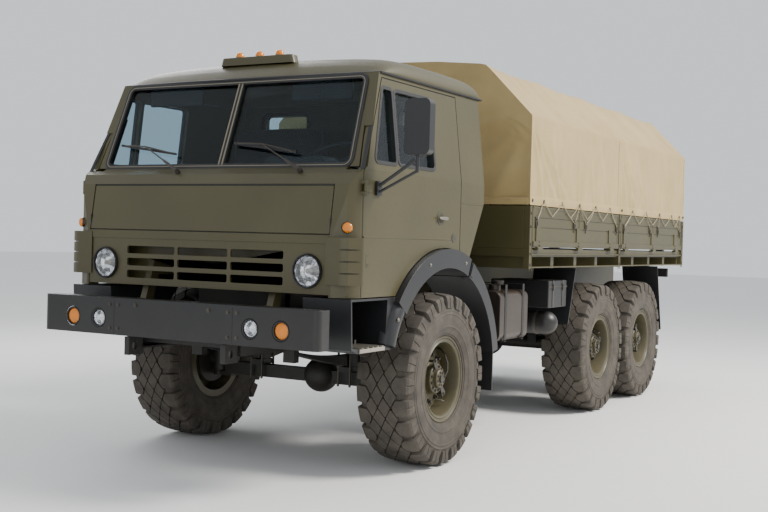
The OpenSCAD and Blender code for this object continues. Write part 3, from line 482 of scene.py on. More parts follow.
def add_shoulder_lug(bm, turn, side):
    """A lug that wraps from the tread over the shoulder, with a notch down its side."""
    half = LUG_TURN * 0.36
    stations = [(0.088, tread_top(0.088), 0.25), (0.112, tread_top(0.112), 0.95),
                (0.16, tread_top(0.16), 1.0), (0.19, tread_top(0.19) - 0.003, 0.98),
                (0.201, TYRE_R - 0.034, 0.94), (0.2045, TYRE_R - 0.072, 0.86),
                (0.203, TYRE_R - 0.105, 0.76)]
    inner = [(0.088, 0.585), (0.112, 0.583), (0.155, 0.578), (0.178, 0.57),
             (0.186, 0.55), (0.191, 0.53), (0.194, 0.504)]
    across = [-1.0, -0.5, -0.12, 0.0, 0.12, 0.5, 1.0]
    top, low = [], []
    for i, ((x, r, wide), (xi, ri)) in enumerate(zip(stations, inner)):
        row = []
        for share in across:
            notch = 0.007 if (i >= 4 and abs(share) < 0.05) else 0.0
            a = turn + half * wide * share
            row.append(bm.verts.new(((r - notch * 0.5) * math.cos(a), (r - notch * 0.5)
                                     * math.sin(a), side * (x - notch))))
        top.append(row)
        low.append([bm.verts.new((ri * math.cos(turn + half * wide * s * 1.1),
                                  ri * math.sin(turn + half * wide * s * 1.1), side * xi))
                    for s in (-1.0, 1.0)])
    for first, second in zip(top, top[1:]):
        for k in range(len(across) - 1):
            bm.faces.new([first[k], first[k + 1], second[k + 1], second[k]])
    for i in range(len(stations) - 1):
        bm.faces.new([top[i][0], top[i + 1][0], low[i + 1][0], low[i][0]])
        bm.faces.new([top[i + 1][-1], top[i][-1], low[i][1], low[i + 1][1]])
    bm.faces.new([low[0][0], low[0][1], *top[0][::-1]])
    bm.faces.new([low[-1][1], low[-1][0], *top[-1]])


def tyre_mesh():
    """Carcass, sidewall rings and a tread of diamond blocks between shoulder lugs."""
    bm = bmesh.new()
    outer = [(0.267, 0.150), (0.300, 0.150), (0.303, 0.160), (0.310, 0.162), (0.313, 0.171),
             (0.322, 0.1735), (0.325, 0.179), (0.345, 0.1865), (0.368, 0.1905), (0.372, 0.1935),
             (0.378, 0.1935), (0.382, 0.1915), (0.405, 0.1945), (0.430, 0.1965),
             (0.455, 0.1965), (0.459, 0.1995), (0.465, 0.1995), (0.469, 0.1965),
             (0.480, 0.196), (0.484, 0.1985), (0.490, 0.1985), (0.494, 0.1945),
             (0.505, 0.1925), (0.530, 0.188), (0.556, 0.179), (0.575, 0.165), (0.586, 0.130),
             (0.5885, 0.07), (0.589, 0.0)]
    profile = outer + [(r, -x) for r, x in reversed(outer[:-1])]
    add_lathe(bm, profile, (0, 0, 0), (0, 0, 1), 96)
    for k in range(LUGS):
        turn = k * LUG_TURN
        for side in SIDES:
            add_shoulder_lug(bm, turn + (0.0 if side > 0 else LUG_TURN / 2), side)
        for column, x in enumerate((-0.072, -0.024, 0.024, 0.072)):
            a = turn + (0.5 if column % 2 else 0.0) * LUG_TURN
            wide, tall = 0.042, LUG_TURN * 0.405
            add_block(bm, [(x - wide, a - tall * 0.06), (x - wide, a + tall * 0.1),
                           (x - wide * 0.06, a + tall), (x + wide * 0.14, a + tall),
                           (x + wide, a + tall * 0.06), (x + wide, a - tall * 0.1),
                           (x + wide * 0.06, a - tall), (x - wide * 0.14, a - tall)])
    return turned_mesh("tyre", bm, TYRE, 28)


def rim_mesh():
    """Deep-dished rim with its disc, on the CAD rim's own section."""
    bm = bmesh.new()
    profile = [(0.0, 0.148), (0.060, 0.148), (0.066, 0.142), (0.068, 0.120), (0.1, 0.118),
               (0.106, 0.112), (0.107, 0.072), (0.118, 0.058), (0.176, 0.052),
               (0.2, 0.046), (0.222, 0.03), (0.236, 0.012), (0.243, 0.008), (0.2535, 0.012),
               (0.2545, 0.145), (0.262, 0.160), (0.274, 0.1655),
               (0.281, 0.160), (0.287, 0.160), (0.292, 0.1675), (0.301, 0.1675),
               (0.3055, 0.162), (0.3055, 0.154), (0.268, 0.150)]
    add_lathe(bm, profile, (0, 0, 0), (0, 0, 1), 72)
    inner = [(0.268, -0.150), (0.3055, -0.154), (0.3055, -0.1655), (0.254, -0.1655),
             (0.254, 0.0), (0.187, 0.0), (0.185, -0.119), (0.0465, -0.119)]
    add_lathe(bm, inner, (0, 0, 0), (0, 0, 1), 72)
    return turned_mesh("rim", bm, OLIVE_DUSTY, 32)


def hub_mesh():
    """Wheel studs and nuts, hub cap bolts and the tyre-inflation bracket with its hose."""
    bm = bmesh.new()
    for k in range(10):
        a = 2 * math.pi * (k + 0.5) / 10
        x, y = 0.167 * math.cos(a), 0.167 * math.sin(a)
        add_rod(bm, (x, y, 0.045), (x, y, 0.082), 0.0095, 10)
        add_rod(bm, (x, y, 0.05), (x, y, 0.068), 0.0165, 6)
        add_rod(bm, (x, y, 0.048), (x, y, 0.054), 0.021, 12)
    for k in range(12):
        a = 2 * math.pi * k / 12
        add_bolt(bm, (0.086 * math.cos(a), 0.086 * math.sin(a), 0.118), (0, 0, 1), 0.008, 0.009)
    for k in range(8):
        a = 2 * math.pi * k / 8
        add_bolt(bm, (0.046 * math.cos(a), 0.046 * math.sin(a), 0.148), (0, 0, 1), 0.006, 0.006)
    add_rod(bm, (0, 0, 0.146), (0, 0, 0.160), 0.026, 24)
    for turn in (0.4, 3.3):
        far = Vector((math.cos(turn), math.sin(turn), 0))
        across = Vector((-far.y, far.x, 0)) * 0.017
        low = [far * 0.075 + across, far * 0.075 - across, far * 0.15 - across * 1.6,
               far * 0.15 + across * 1.6]
        add_band(bm, [[p + Vector((0, 0, z)) for p in low] for z in (0.121, 0.129)])
        add_rod(bm, far * 0.14 + Vector((0, 0, 0.05)), far * 0.14 + Vector((0, 0, 0.121)),
                0.009, 10)
        add_bolt(bm, far * 0.14 + Vector((0, 0, 0.129)), (0, 0, 1), 0.008)
    start = 1.6
    hose = [(0.03, 0.0, 0.158), (0.075, 0.03, 0.166), (0.12, 0.075, 0.15),
            (0.165, 0.12, 0.11), (0.19, 0.15, 0.07), (0.2, 0.147, 0.045)]
    turned = [(x * math.cos(start) - y * math.sin(start), x * math.sin(start)
               + y * math.cos(start), z) for x, y, z in hose]
    add_tube(bm, turned, 0.006)
    return turned_mesh("hub_details", bm, DARK_STEEL, 32)


def valve_mesh():
    """A valve stem on the rim's inner wall."""
    bm = bmesh.new()
    add_tube(bm, [(0.2, 0.1, 0.03), (0.204, 0.102, 0.08), (0.212, 0.106, 0.1)], 0.005)
    mesh = bpy.data.meshes.new("valve")
    bm.to_mesh(mesh)
    bm.free()
    mesh.materials.append(STEEL)
    return mesh


def add_wheels():
    """Seven wheels, each a turned copy of the same meshes."""
    parts = {"tyre": tyre_mesh(), "rim": rim_mesh(), "hub": hub_mesh(), "valve": valve_mesh()}
    places = []
    for k, wheel in enumerate(WHEELS):
        low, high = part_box(f"{wheel}_tyre")
        side = 1 if low.x > 0 else -1
        turn = Matrix.Rotation(math.radians(90 * side), 4, "Y")
        spin = Matrix.Rotation(k * 0.7 + 0.25, 4, "Z")
        places.append((wheel, f"{wheel}_wheel", Matrix.Translation((low + high) / 2)
                       @ turn @ spin))
    low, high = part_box("spare_tyre")
    places.append(("spare", "chassis", Matrix.Translation((low + high) / 2)
                   @ Matrix.Rotation(math.radians(90), 4, "X")))
    for wheel, body, matrix in places:
        for part, mesh in parts.items():
            own = mesh.copy()
            own.transform(matrix)
            obj = bpy.data.objects.new(f"{wheel}_{part}_look", own)
            bpy.context.scene.collection.objects.link(obj)
            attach(obj, body)
            if part in ("tyre", "rim"):
                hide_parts(f"{wheel}_{part}")


add_wheels()


# ---- CAD nodes shown as they are, or copied with rounded edges further down ----

COATED = (
    (CHASSIS, ("chassis_frame", "frame_brackets", "tow_fittings", "front_axle", "rear_axles",
               "leaf_springs", "left_knuckle", "right_knuckle", "tie_rod")),
    (BLACK, ("front_bumper", "battery_box", "air_tank")),
    (CAST, ("engine", "driveline", "muffler")),
    (BRONZE, ("fuel_tanks",)),
    (PLASTIC, ("mudguards", "cab_fenders", "left_mirror")),
    (GLASS, ("cab_glass", "left_door_glass", "right_door_glass")),
    (DASH, ("dashboard", "steering_wheel")),
    (OLIVE, ("cab_shell", "front_grille", "front_flap", "corner_deflectors", "left_door",
             "right_door", "bed_platform", "bed_posts", "tailgate", *BOARDS)),
)
for material, nodes in COATED:
    for node in nodes:
        coat(node, material)


# ---- Cab ----

ROOF_LOW, ROOF_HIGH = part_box("cab_roof")
GUTTER = ROOF_LOW.z
HALF_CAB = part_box("dashboard")[1].x + 0.075
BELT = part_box("cab_glass")[0].z - 0.02
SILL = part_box("left_door")[0].z - 0.002
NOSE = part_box("front_grille")[0].y
CAB_REAR = ROOF_HIGH.y - 0.055
DOOR_FRONT, DOOR_REAR = -1.13, 0.236
FLANK_TURN = math.radians(6.8)
FLANK_RADIUS = 0.3
FLANK_LEAN = 0.075
SCREEN_SLOPE = 0.373
ROOF_LAMP_X = (-0.17, 0.0, 0.17)
ROOF_LAMP_Y = -0.675
HEADLAMP_X = 0.838
HANDLE_Y, HANDLE_Z = -0.083, 1.743
HINGE_UP = (0.235, 0.685)
REAR_WINDOW_X = 0.64
WIPERS = (("left", 0.7), ("right", -0.3))
SEATS = (("driver_seat", 0.3, 0.83), ("passenger_seat", -0.96, -0.06))


def screen_y(z):
    """The windscreen's outer plane."""
    return NOSE + 0.182 + (z - BELT - 0.02) * SCREEN_SLOPE


def flank_x(z):
    """Half the cab's width at a height."""
    rise = z - (BELT - 0.03)
    if rise <= 0:
        return HALF_CAB
    bend = FLANK_RADIUS * math.sin(FLANK_TURN)
    if rise < bend:
        return HALF_CAB - FLANK_RADIUS * (1 - math.sqrt(1 - (rise / FLANK_RADIUS) ** 2))
    start = HALF_CAB - FLANK_RADIUS * (1 - math.cos(FLANK_TURN))
    share = (rise - bend) / (GUTTER - BELT + 0.03 - bend)
    return start + (HALF_CAB - FLANK_LEAN - start) * share


def rounded_outline(corners, radius, steps=5):
    """A counter-clockwise polygon with its corners rounded."""
    corners = [Vector(c) for c in corners]
    result = []
    for i, corner in enumerate(corners):
        into = (corners[i - 1] - corner).normalized()
        out = (corners[(i + 1) % len(corners)] - corner).normalized()
        half = into.angle(out) / 2
        centre = corner + (into + out).normalized() * radius / math.sin(half)
        first = corner + into * radius / math.tan(half) - centre
        last = corner + out * radius / math.tan(half) - centre
        turn = math.atan2(first.x * last.y - first.y * last.x, first.dot(last))
        for k in range(steps + 1):
            a = turn * k / steps
            result.append(centre + Vector((first.x * math.cos(a) - first.y * math.sin(a),
                                           first.x * math.sin(a) + first.y * math.cos(a))))
    return result


def outline_band(bm, outline, to_space, outward, inward, front, back, closed=True):
    """A band along an outline: across it from outward to inward, and from front to back."""
    n = len(outline)
    sections = []
    for i, point in enumerate(outline):
        before = outline[i - 1] if closed or i > 0 else point
        after = outline[(i + 1) % n] if closed or i < n - 1 else point
        ahead = (after - before).normalized()
        out = Vector((ahead.y, -ahead.x))
        sections.append([to_space(point + out * outward, front),
                         to_space(point - out * inward, front),
                         to_space(point - out * inward, back),
                         to_space(point + out * outward, back)])
    add_band(bm, sections, closed)


def on_screen(point, depth):
    """A windscreen point (X, Z); depth is behind the outer plane."""
    return Vector((point.x, screen_y(point.y) + depth, point.y))


def on_flank(side):
    """Turns a flank point (Y, Z) and a depth under the surface into space."""
    return lambda point, depth: Vector((side * (flank_x(point.y) - depth), point.x, point.y))


def screen_outline():
    """Both panes' outer edge."""
    half0, half1 = HALF_CAB - 0.135, HALF_CAB - 0.161
    z0, z1 = BELT + 0.02, GUTTER - 0.025
    return rounded_outline([(-half0, z0), (half0, z0), (half1, z1), (-half1, z1)], 0.045, 6)


def add_screen_gaskets():
    """Black rubber round the windscreen with a pale filler line, and the centre strip."""
    outline = screen_outline()
    bm = bmesh.new()
    outline_band(bm, outline, on_screen, 0.024, 0.014, -0.009, 0.022)
    z0, z1 = BELT + 0.006, GUTTER - 0.012
    strip_points = [Vector((0, z0)), Vector((0, z1))]
    outline_band(bm, strip_points, on_screen, 0.026, 0.026, -0.006, 0.022, closed=False)
    from_bmesh("screen_gasket", bm, RUBBER, "cab", 0.003)
    bm = bmesh.new()
    outline_band(bm, outline, on_screen, 0.004, 0.001, -0.0115, -0.004)
    for x in (-0.014, 0.014):
        outline_band(bm, [Vector((x, z0 + 0.02)), Vector((x, z1 - 0.02))], on_screen,
                     0.0045, 0.0045, -0.011, 0.0, closed=False)
    pale = plain("pale_filler", (0.2, 0.18, 0.13), 0.5)
    from_bmesh("screen_filler", bm, pale, "cab", slot="black_plastic")


def roof_profile(value, stations):
    """The share at a distance, straight between stations of (distance, share)."""
    for (a, low), (b, high) in zip(stations, stations[1:]):
        if value <= b:
            t = (value - a) / (b - a)
            return low + (high - low) * t
    return stations[-1][1]


def add_roof():
    """Domed roof with rounded edges, its lining, and the black gutter under it."""
    half = ROOF_HIGH.x
    front, rear = ROOF_LOW.y, CAB_REAR + 0.045
    cross = [(0, 1.0), (0.2, 0.992), (0.45, 0.965), (0.65, 0.92), (0.8, 0.855), (0.88, 0.79),
             (0.93, 0.69), (0.965, 0.54), (0.985, 0.36), (0.995, 0.17), (1.0, 0.0)]
    ahead = [(0, 0.0), (0.012, 0.09), (0.03, 0.24), (0.055, 0.42), (0.09, 0.6), (0.14, 0.76),
             (0.21, 0.88), (0.32, 0.955), (0.45, 0.99), (0.6, 1.0), (0.85, 0.985), (0.93, 0.94),
             (0.97, 0.85), (0.99, 0.6), (1.0, 0.0)]
    xs = sorted({s * k[0] for k in cross for s in SIDES} | {i / 12 for i in range(-8, 9)})
    ys = sorted({k[0] for k in ahead} | {i / 20 for i in range(1, 19)})
    bm = bmesh.new()
    layers = []
    for inset in (0.0, 0.03):
        rows = []
        for t in ys:
            row = []
            for s in xs:
                lift = roof_profile(abs(s), cross) * roof_profile(t, ahead)
                y = front + inset + (rear - front - 2 * inset) * t
                bow = 0.03 * (s * s) * (1 - t) ** 4
                z = GUTTER + (ROOF_HIGH.z - GUTTER - inset) * lift
                row.append(bm.verts.new((s * (half - inset), y + bow, z)))
            rows.append(row)
        layers.append(rows)
    for rows, turned in ((layers[0], False), (layers[1], True)):
        for first, second in zip(rows, rows[1:]):
            for k in range(len(xs) - 1):
                corners = [first[k], first[k + 1], second[k + 1], second[k]]
                bm.faces.new(corners[::-1] if turned else corners)
    rims = [[rows[0][k] for k in range(len(xs))] + [r[-1] for r in rows[1:]]
            + rows[-1][-2::-1] + [r[0] for r in rows[-2:0:-1]] for rows in layers]
    for k in range(len(rims[0])):
        n = (k + 1) % len(rims[0])
        bm.faces.new([rims[0][k], rims[0][n], rims[1][n], rims[1][k]])
    outer = [v.co.copy() for v in rims[0]]
    roof = from_bmesh("roof_look", bm, OLIVE, "cab", angle=40, slot="")
    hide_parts("cab_roof")
    smooth = roof.modifiers.new("smooth_dome", "SUBSURF")
    smooth.levels = smooth.render_levels = 1
    centre = Vector((0, (front + rear) / 2, GUTTER))
    bm = bmesh.new()
    rings = []
    for corner in outer:
        away = Vector((corner.x - centre.x, corner.y - centre.y, 0))
        out = Vector((math.copysign(1, away.x) if abs(corner.x) > half - 0.01 else 0,
                      math.copysign(1, away.y) if abs(corner.y - centre.y)
                      > (rear - front) / 2 - 0.06 else 0, 0)).normalized()
        base = Vector((corner.x, corner.y, 0))
        rings.append([base + out * d + Vector((0, 0, z)) for d, z in (
            (-0.02, GUTTER - 0.004), (0.009, GUTTER - 0.006), (0.011, GUTTER + 0.004),
            (-0.002, GUTTER + 0.009), (-0.02, GUTTER + 0.006))])
    add_band(bm, rings, closed=True)
    from_bmesh("roof_gutter", bm, RUBBER, "cab")


def add_roof_lamps():
    """Three domed markers on their bar."""
    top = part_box("cab_lamps")[1].z
    for k, x in enumerate(ROOF_LAMP_X):
        bm = bmesh.new()
        base = top - 0.045
        add_lathe(bm, [(0.031, 0.0), (0.031, 0.012), (0.029, 0.026), (0.022, 0.037),
                       (0.011, 0.043), (0.0, 0.045)], (x, ROOF_LAMP_Y, base), (0, 0, 1), 24)
        from_bmesh(f"roof_marker_{k + 1}", bm, AMBER, "cab", angle=50)
    bm = bmesh.new()
    outline = rounded_outline([(-0.3, -0.722), (0.3, -0.722), (0.3, -0.628), (-0.3, -0.628)],
                              0.03, 4)
    low_ring = [bm.verts.new((p.x * 1.05, p.y, top - 0.1)) for p in outline]
    high_ring = [bm.verts.new((p.x, p.y, top - 0.044)) for p in outline]
    for k in range(len(outline)):
        n = (k + 1) % len(outline)
        bm.faces.new([low_ring[k], low_ring[n], high_ring[n], high_ring[k]])
    bm.faces.new(high_ring)
    for x in ROOF_LAMP_X:
        add_rod(bm, (x, ROOF_LAMP_Y, top - 0.05), (x, ROOF_LAMP_Y, top - 0.038), 0.035, 24)
    bar = from_bmesh("roof_lamp_bar", bm, OLIVE, "cab", 0.004, slot="")
    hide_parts("cab_lamps")


def add_headlamp(side):
    """Round headlamp: black ring, faceted bowl, bulb and a clear lens."""
    x, z = side * HEADLAMP_X, SILL + 0.159
    y = NOSE
    bm = bmesh.new()
    add_lathe(bm, [(0.107, 0.03), (0.107, -0.012), (0.104, -0.018), (0.098, -0.014),
                   (0.096, 0.0), (0.096, 0.03)], (x, y, z), (0, 1, 0), 48)
    from_bmesh(f"headlamp_ring_{NAMES[side]}", bm, RUBBER, "cab")
    bm = bmesh.new()
    add_lathe(bm, [(0.096, 0.0), (0.084, 0.022), (0.062, 0.042), (0.036, 0.056), (0.0, 0.062)],
              (x, y, z), (0, 1, 0), 14)
    from_bmesh(f"headlamp_bowl_{NAMES[side]}", bm, REFLECTOR, "cab",
                      angle=4)
    bm = bmesh.new()
    add_rod(bm, (x, y + 0.015, z), (x, y + 0.06, z), 0.016, 16)
    from_bmesh(f"headlamp_bulb_{NAMES[side]}", bm, STEEL, "cab")
    bm = bmesh.new()
    add_faceted_lens(bm, (x, y, z), ((0.0965, 0.0), (0.088, -0.008), (0.066, -0.0145),
                                     (0.036, -0.018)), 0.0016, 40, tip=-0.019)
    from_bmesh(f"headlamp_lens_{NAMES[side]}", bm, CLEAR, "cab",
               angle=60)


def add_side_marker(side):
    """Orange marker on the cab's front corner."""
    out = Vector((side, -1, 0)).normalized()
    at = Vector((side * (HALF_CAB - 0.078), NOSE + 0.06, SILL + 0.435))
    bm = bmesh.new()
    add_lathe(bm, [(0.034, 0.0), (0.036, 0.03), (0.033, 0.036)], at, out, 28)
    from_bmesh(f"side_marker_base_{NAMES[side]}", bm, RUBBER, "cab")
    bm = bmesh.new()
    add_lathe(bm, [(0.032, 0.028), (0.032, 0.044), (0.026, 0.054), (0.014, 0.06), (0, 0.061)],
              at, out, 28)
    from_bmesh(f"side_marker_lens_{NAMES[side]}", bm, AMBER, "cab",
               angle=50)


def add_wiper(name, pivot_x):
    """Wiper: pivot on the cowl, arm, and a blade that lies low on the glass."""
    pivot = Vector((pivot_x, screen_y(BELT) - 0.068, BELT - 0.034))
    joint = Vector((pivot_x - 0.37, screen_y(BELT + 0.16) - 0.045, BELT + 0.16))
    bm = bmesh.new()
    out = Vector((0, -0.75, 0.65)).normalized()
    add_rod(bm, pivot - out * 0.02, pivot + out * 0.035, 0.017, 16)
    add_rod(bm, pivot + out * 0.03, pivot + out * 0.045, 0.011, 6)
    knee = pivot + out * 0.028
    first = knee.lerp(joint, 0.38)
    add_band(bm, [[p + Vector((0, 0, w)), p + Vector((0, -0.012, w * 0.6)),
                   p + Vector((0, -0.012, -w * 0.6)), p + Vector((0, 0, -w))]
                  for p, w in ((knee, 0.014), (first, 0.011))])
    add_rod(bm, first, joint, 0.005, 8)
    start = Vector((pivot_x - 0.62, screen_y(BELT + 0.175) - 0.02, BELT + 0.175))
    end = Vector((pivot_x - 0.1, screen_y(BELT + 0.105) - 0.02, BELT + 0.105))
    middle = start.lerp(end, 0.5)
    add_tube(bm, [start.lerp(end, 0.06), start.lerp(joint, 0.5) + Vector((0, -0.004, 0.0)),
                  joint, joint.lerp(end, 0.5) + Vector((0, -0.004, 0)), start.lerp(end, 0.94)],
             0.0055, 6)
    add_rod(bm, middle, joint, 0.007, 8)
    from_bmesh(f"wiper_{name}", bm, DARK_STEEL, "cab")
    bm = bmesh.new()
    add_band(bm, [[p + Vector((0, 0.012, 0.004)), p + Vector((0, -0.004, 0.008)),
                   p + Vector((0, -0.004, -0.008)), p + Vector((0, 0.012, -0.004))]
                  for p in (start, end)])
    from_bmesh(f"wiper_blade_{name}", bm, RUBBER, "cab")


def window_outlines():
    """The quarter pane and the main pane of a door, as (Y, Z)."""
    z0, z1 = BELT + 0.045, GUTTER - 0.1
    quarter = rounded_outline([(screen_y(z0) + 0.085, z0), (-0.716, z0), (-0.716, z1),
                               (screen_y(z1) + 0.062, z1)], 0.025, 4)
    main = rounded_outline([(-0.684, z0), (-0.172, z0), (-0.172, z1), (-0.684, z1)], 0.035, 5)
    return quarter, main


def add_door_parts(side):
    """Gaskets, handle, plug, press line and inner panel of one door."""
    name = NAMES[side]
    body = f"{name}_door"
    to_space = on_flank(side)
    bm = bmesh.new()
    for outline in window_outlines():
        outline_band(bm, outline, to_space, 0.016, 0.008, -0.004, 0.026)
    from_bmesh(f"{name}_window_gaskets", bm, RUBBER, body, 0.002)
    x = HALF_CAB
    bm = bmesh.new()
    add_lathe(bm, [(0.047, 0.0), (0.047, 0.002), (0.043, 0.0035), (0.038, 0.0015), (0.0, 0.0012)],
              (side * x, HANDLE_Y, HANDLE_Z), (side, 0, 0), 32)
    # The handle's dish takes the darker copy of the olive: painted shade in the recess.
    from_bmesh(f"{name}_handle_dish", bm, OLIVE_SHADED, body)
    bm = bmesh.new()
    add_rod(bm, (side * x, HANDLE_Y, HANDLE_Z), (side * (x + 0.026), HANDLE_Y, HANDLE_Z),
            0.012, 16)
    add_band(bm, [[Vector((side * (x + dx), y, HANDLE_Z + dz)) for dx, dz in (
        (0.016, w), (0.03, w * 0.8), (0.03, -w * 0.8), (0.016, -w))]
        for y, w in ((HANDLE_Y - 0.055, 0.006), (HANDLE_Y - 0.03, 0.011),
                     (HANDLE_Y + 0.035, 0.013), (HANDLE_Y + 0.072, 0.011))])
    from_bmesh(f"{name}_door_handle", bm, STEEL, body, 0.003)
    bm = bmesh.new()
    add_lathe(bm, [(0.033, 0.0), (0.033, 0.003), (0.029, 0.005), (0.0, 0.0045)],
              (side * x, 0.137, 1.609), (side, 0, 0), 32)
    from_bmesh(f"{name}_door_plug", bm, DARK_STEEL, body, slot="black_plastic")
    bm = bmesh.new()
    add_band(bm, [[Vector((side * (x + dx), y, SILL + 0.38 + dz)) for dx, dz in (
        (-0.002, -0.007), (0.0025, -0.002), (0.0015, 0.005), (-0.002, 0.008))]
        for y in (DOOR_FRONT + 0.005, DOOR_REAR - 0.116)])
    from_bmesh(f"{name}_door_press_line", bm, OLIVE, body)
    bm = bmesh.new()
    inner = x - 0.06
    add_box(bm, (side * inner - 0.004, DOOR_FRONT + 0.22, SILL + 0.42),
            (side * inner + 0.004, DOOR_REAR - 0.06, BELT - 0.03))
    add_box(bm, (side * (inner - 0.035) - 0.025, -0.62, BELT - 0.25),
            (side * (inner - 0.035) + 0.025, -0.2, BELT - 0.21))
    from_bmesh(f"{name}_door_lining", bm, DASH, body, 0.004)
    bm = bmesh.new()
    add_rod(bm, (side * (inner - 0.004), -0.46, BELT - 0.16),
            (side * (inner - 0.03), -0.46, BELT - 0.16), 0.012, 16)
    add_tube(bm, [(side * (inner - 0.03), -0.46, BELT - 0.16),
                  (side * (inner - 0.034), -0.41, BELT - 0.12),
                  (side * (inner - 0.05), -0.4, BELT - 0.11)], 0.006)
    add_box(bm, (side * (inner - 0.02) - 0.012, -0.98, BELT - 0.17),
            (side * (inner - 0.02) + 0.012, -0.86, BELT - 0.145))
    from_bmesh(f"{name}_door_winder", bm, DARK_STEEL, body, 0.002)


def door_seam_outline():
    """The door's edge (Y, Z) down its front, over its top and down to the wheel arch."""
    top = GUTTER - 0.038
    return [Vector(p) for p in (
        (DOOR_REAR + 0.0035, SILL + 0.52), (DOOR_REAR + 0.0035, top + 0.0035),
        (screen_y(top) + 0.045, top + 0.0035), (DOOR_FRONT - 0.0035, BELT - 0.03),
        (DOOR_FRONT - 0.0035, SILL))]


def add_seams():
    """Dark rubber in the gaps round the doors and the front flap."""
    bm = bmesh.new()
    for side in SIDES:
        points = door_seam_outline()
        dense = []
        for a, b in zip(points, points[1:]):
            dense += [a.lerp(b, k / 8) for k in range(8)]
        dense.append(points[-1])
        outline_band(bm, dense, on_flank(side), 0.0032, 0.0032, 0.006, 0.03, closed=False)
    from_bmesh("door_seals", bm, RUBBER, "cab")
    bm = bmesh.new()
    low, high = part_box("front_flap")
    for x in (low.x - 0.0035, high.x + 0.0035):
        add_box(bm, (x - 0.0032, NOSE + 0.052, low.z), (x + 0.0032, NOSE + 0.09, high.z + 0.008))
        add_box(bm, (x - 0.0032, NOSE + 0.006, low.z), (x + 0.0032, NOSE + 0.09, low.z + 0.1))
    add_box(bm, (low.x, NOSE + 0.05, high.z + 0.001), (high.x, NOSE + 0.09, high.z + 0.008))
    add_box(bm, (low.x, NOSE + 0.012, low.z - 0.0055), (high.x, NOSE + 0.05, low.z - 0.0005))
    from_bmesh("flap_seals", bm, RUBBER, "cab")


def add_cab_panels():
    """Press lines, grab rail and small fittings of the cab shell."""
    bm = bmesh.new()
    for side in SIDES:
        x = HALF_CAB
        add_band(bm, [[Vector((side * (x + dx), y, BELT - 0.17 + dz)) for dx, dz in (
            (-0.002, -0.006), (0.003, -0.002), (0.003, 0.003), (-0.002, 0.007))]
            for y in (DOOR_REAR + 0.02, CAB_REAR - 0.012)])
    from_bmesh("cab_press_lines", bm, OLIVE, "cab")
    bm = bmesh.new()
    for side in SIDES:
        x = HALF_CAB - 0.12
        add_tube(bm, [(side * x, CAB_REAR + 0.0, BELT - 0.3), (side * x, CAB_REAR + 0.05,
                 BELT - 0.27), (side * x, CAB_REAR + 0.05, BELT + 0.3),
                 (side * x, CAB_REAR - 0.01, BELT + 0.33)], 0.011)
    from_bmesh("cab_rear_rails", bm, BLACK, "cab")
    bm = bmesh.new()
    for side in SIDES:
        for rise in HINGE_UP:
            at = Vector((side * (HALF_CAB + 0.02), DOOR_FRONT - 0.014, SILL + rise))
            add_rod(bm, at - Vector((0, 0, 0.049)), at + Vector((0, 0, 0.049)), 0.0105, 14)
    from_bmesh("hinge_pin_heads", bm, OLIVE_DUSTY, "cab")


def add_pillar_covers():
    """The lower part of both windscreen pillars, between the glass and the door."""
    bm = bmesh.new()
    for side in SIDES:
        rings = []
        for k in range(9):
            z = BELT + 0.006 + 0.37 * k / 8
            inner = HALF_CAB - 0.137 - 0.0445 * (z - BELT)
            outer = flank_x(z) - 0.063
            y = screen_y(z)
            rings.append([Vector((side * inner, y - 0.002, z)),
                          Vector((side * outer, y - 0.002, z)),
                          Vector((side * outer, y + 0.055, z)),
                          Vector((side * inner, y + 0.055, z))])
        add_band(bm, rings)
    from_bmesh("pillar_covers", bm, OLIVE, "cab", 0.002)


def add_rear_window_frames():
    """Black gaskets of the rear windows, inside and out."""
    bm = bmesh.new()
    for side in SIDES:
        x0, x1 = side * REAR_WINDOW_X - 0.215, side * REAR_WINDOW_X + 0.215
        z0, z1 = GUTTER - 0.28, GUTTER - 0.075
        outline = rounded_outline([(x0, z0), (x1, z0), (x1, z1), (x0, z1)], 0.035, 5)
        for y0, y1 in ((-0.006, 0.02), (-0.045 - 0.008, -0.026)):
            outline_band(bm, outline, lambda p, d: Vector((p.x, CAB_REAR + d, p.y)),
                         0.03, 0.006, y0, y1)
    from_bmesh("rear_window_gaskets", bm, RUBBER, "cab", 0.003)


def arch_lip(bm, side, start, end, taper_low=False, taper_high=False):
    """The wheel arch's rounded lip between two angles, 0 straight back and 90 up."""
    axle = TYRE_R
    inner, outer = 0.786, 0.917
    section = [(0.0, 1.112), (0.0, 1.172), (0.06, 1.188), (0.2, 1.197), (0.4, 1.2),
               (0.62, 1.195), (0.82, 1.178), (0.95, 1.15), (1.0, 1.112), (0.9, 1.112),
               (0.78, 1.15), (0.5, 1.17), (0.16, 1.165)]
    steps = max(8, int(abs(end - start) / 2))
    rings = []
    for k in range(steps + 1):
        angle = start + (end - start) * k / steps
        squeeze = 1.0
        if taper_low:
            squeeze = 0.42 + 0.58 * min(1.0, (angle - start) / (end - start) * 1.25)
        if taper_high:
            squeeze = 1.0 - 0.25 * max(0.0, (angle - 145) / 20)
        a = math.radians(angle)
        rings.append([Vector((side * x, (inner + (outer - inner) * r * squeeze) * math.cos(a),
                              axle + (inner + (outer - inner) * r * squeeze) * math.sin(a)))
                      for r, x in section])
    add_band(bm, rings)


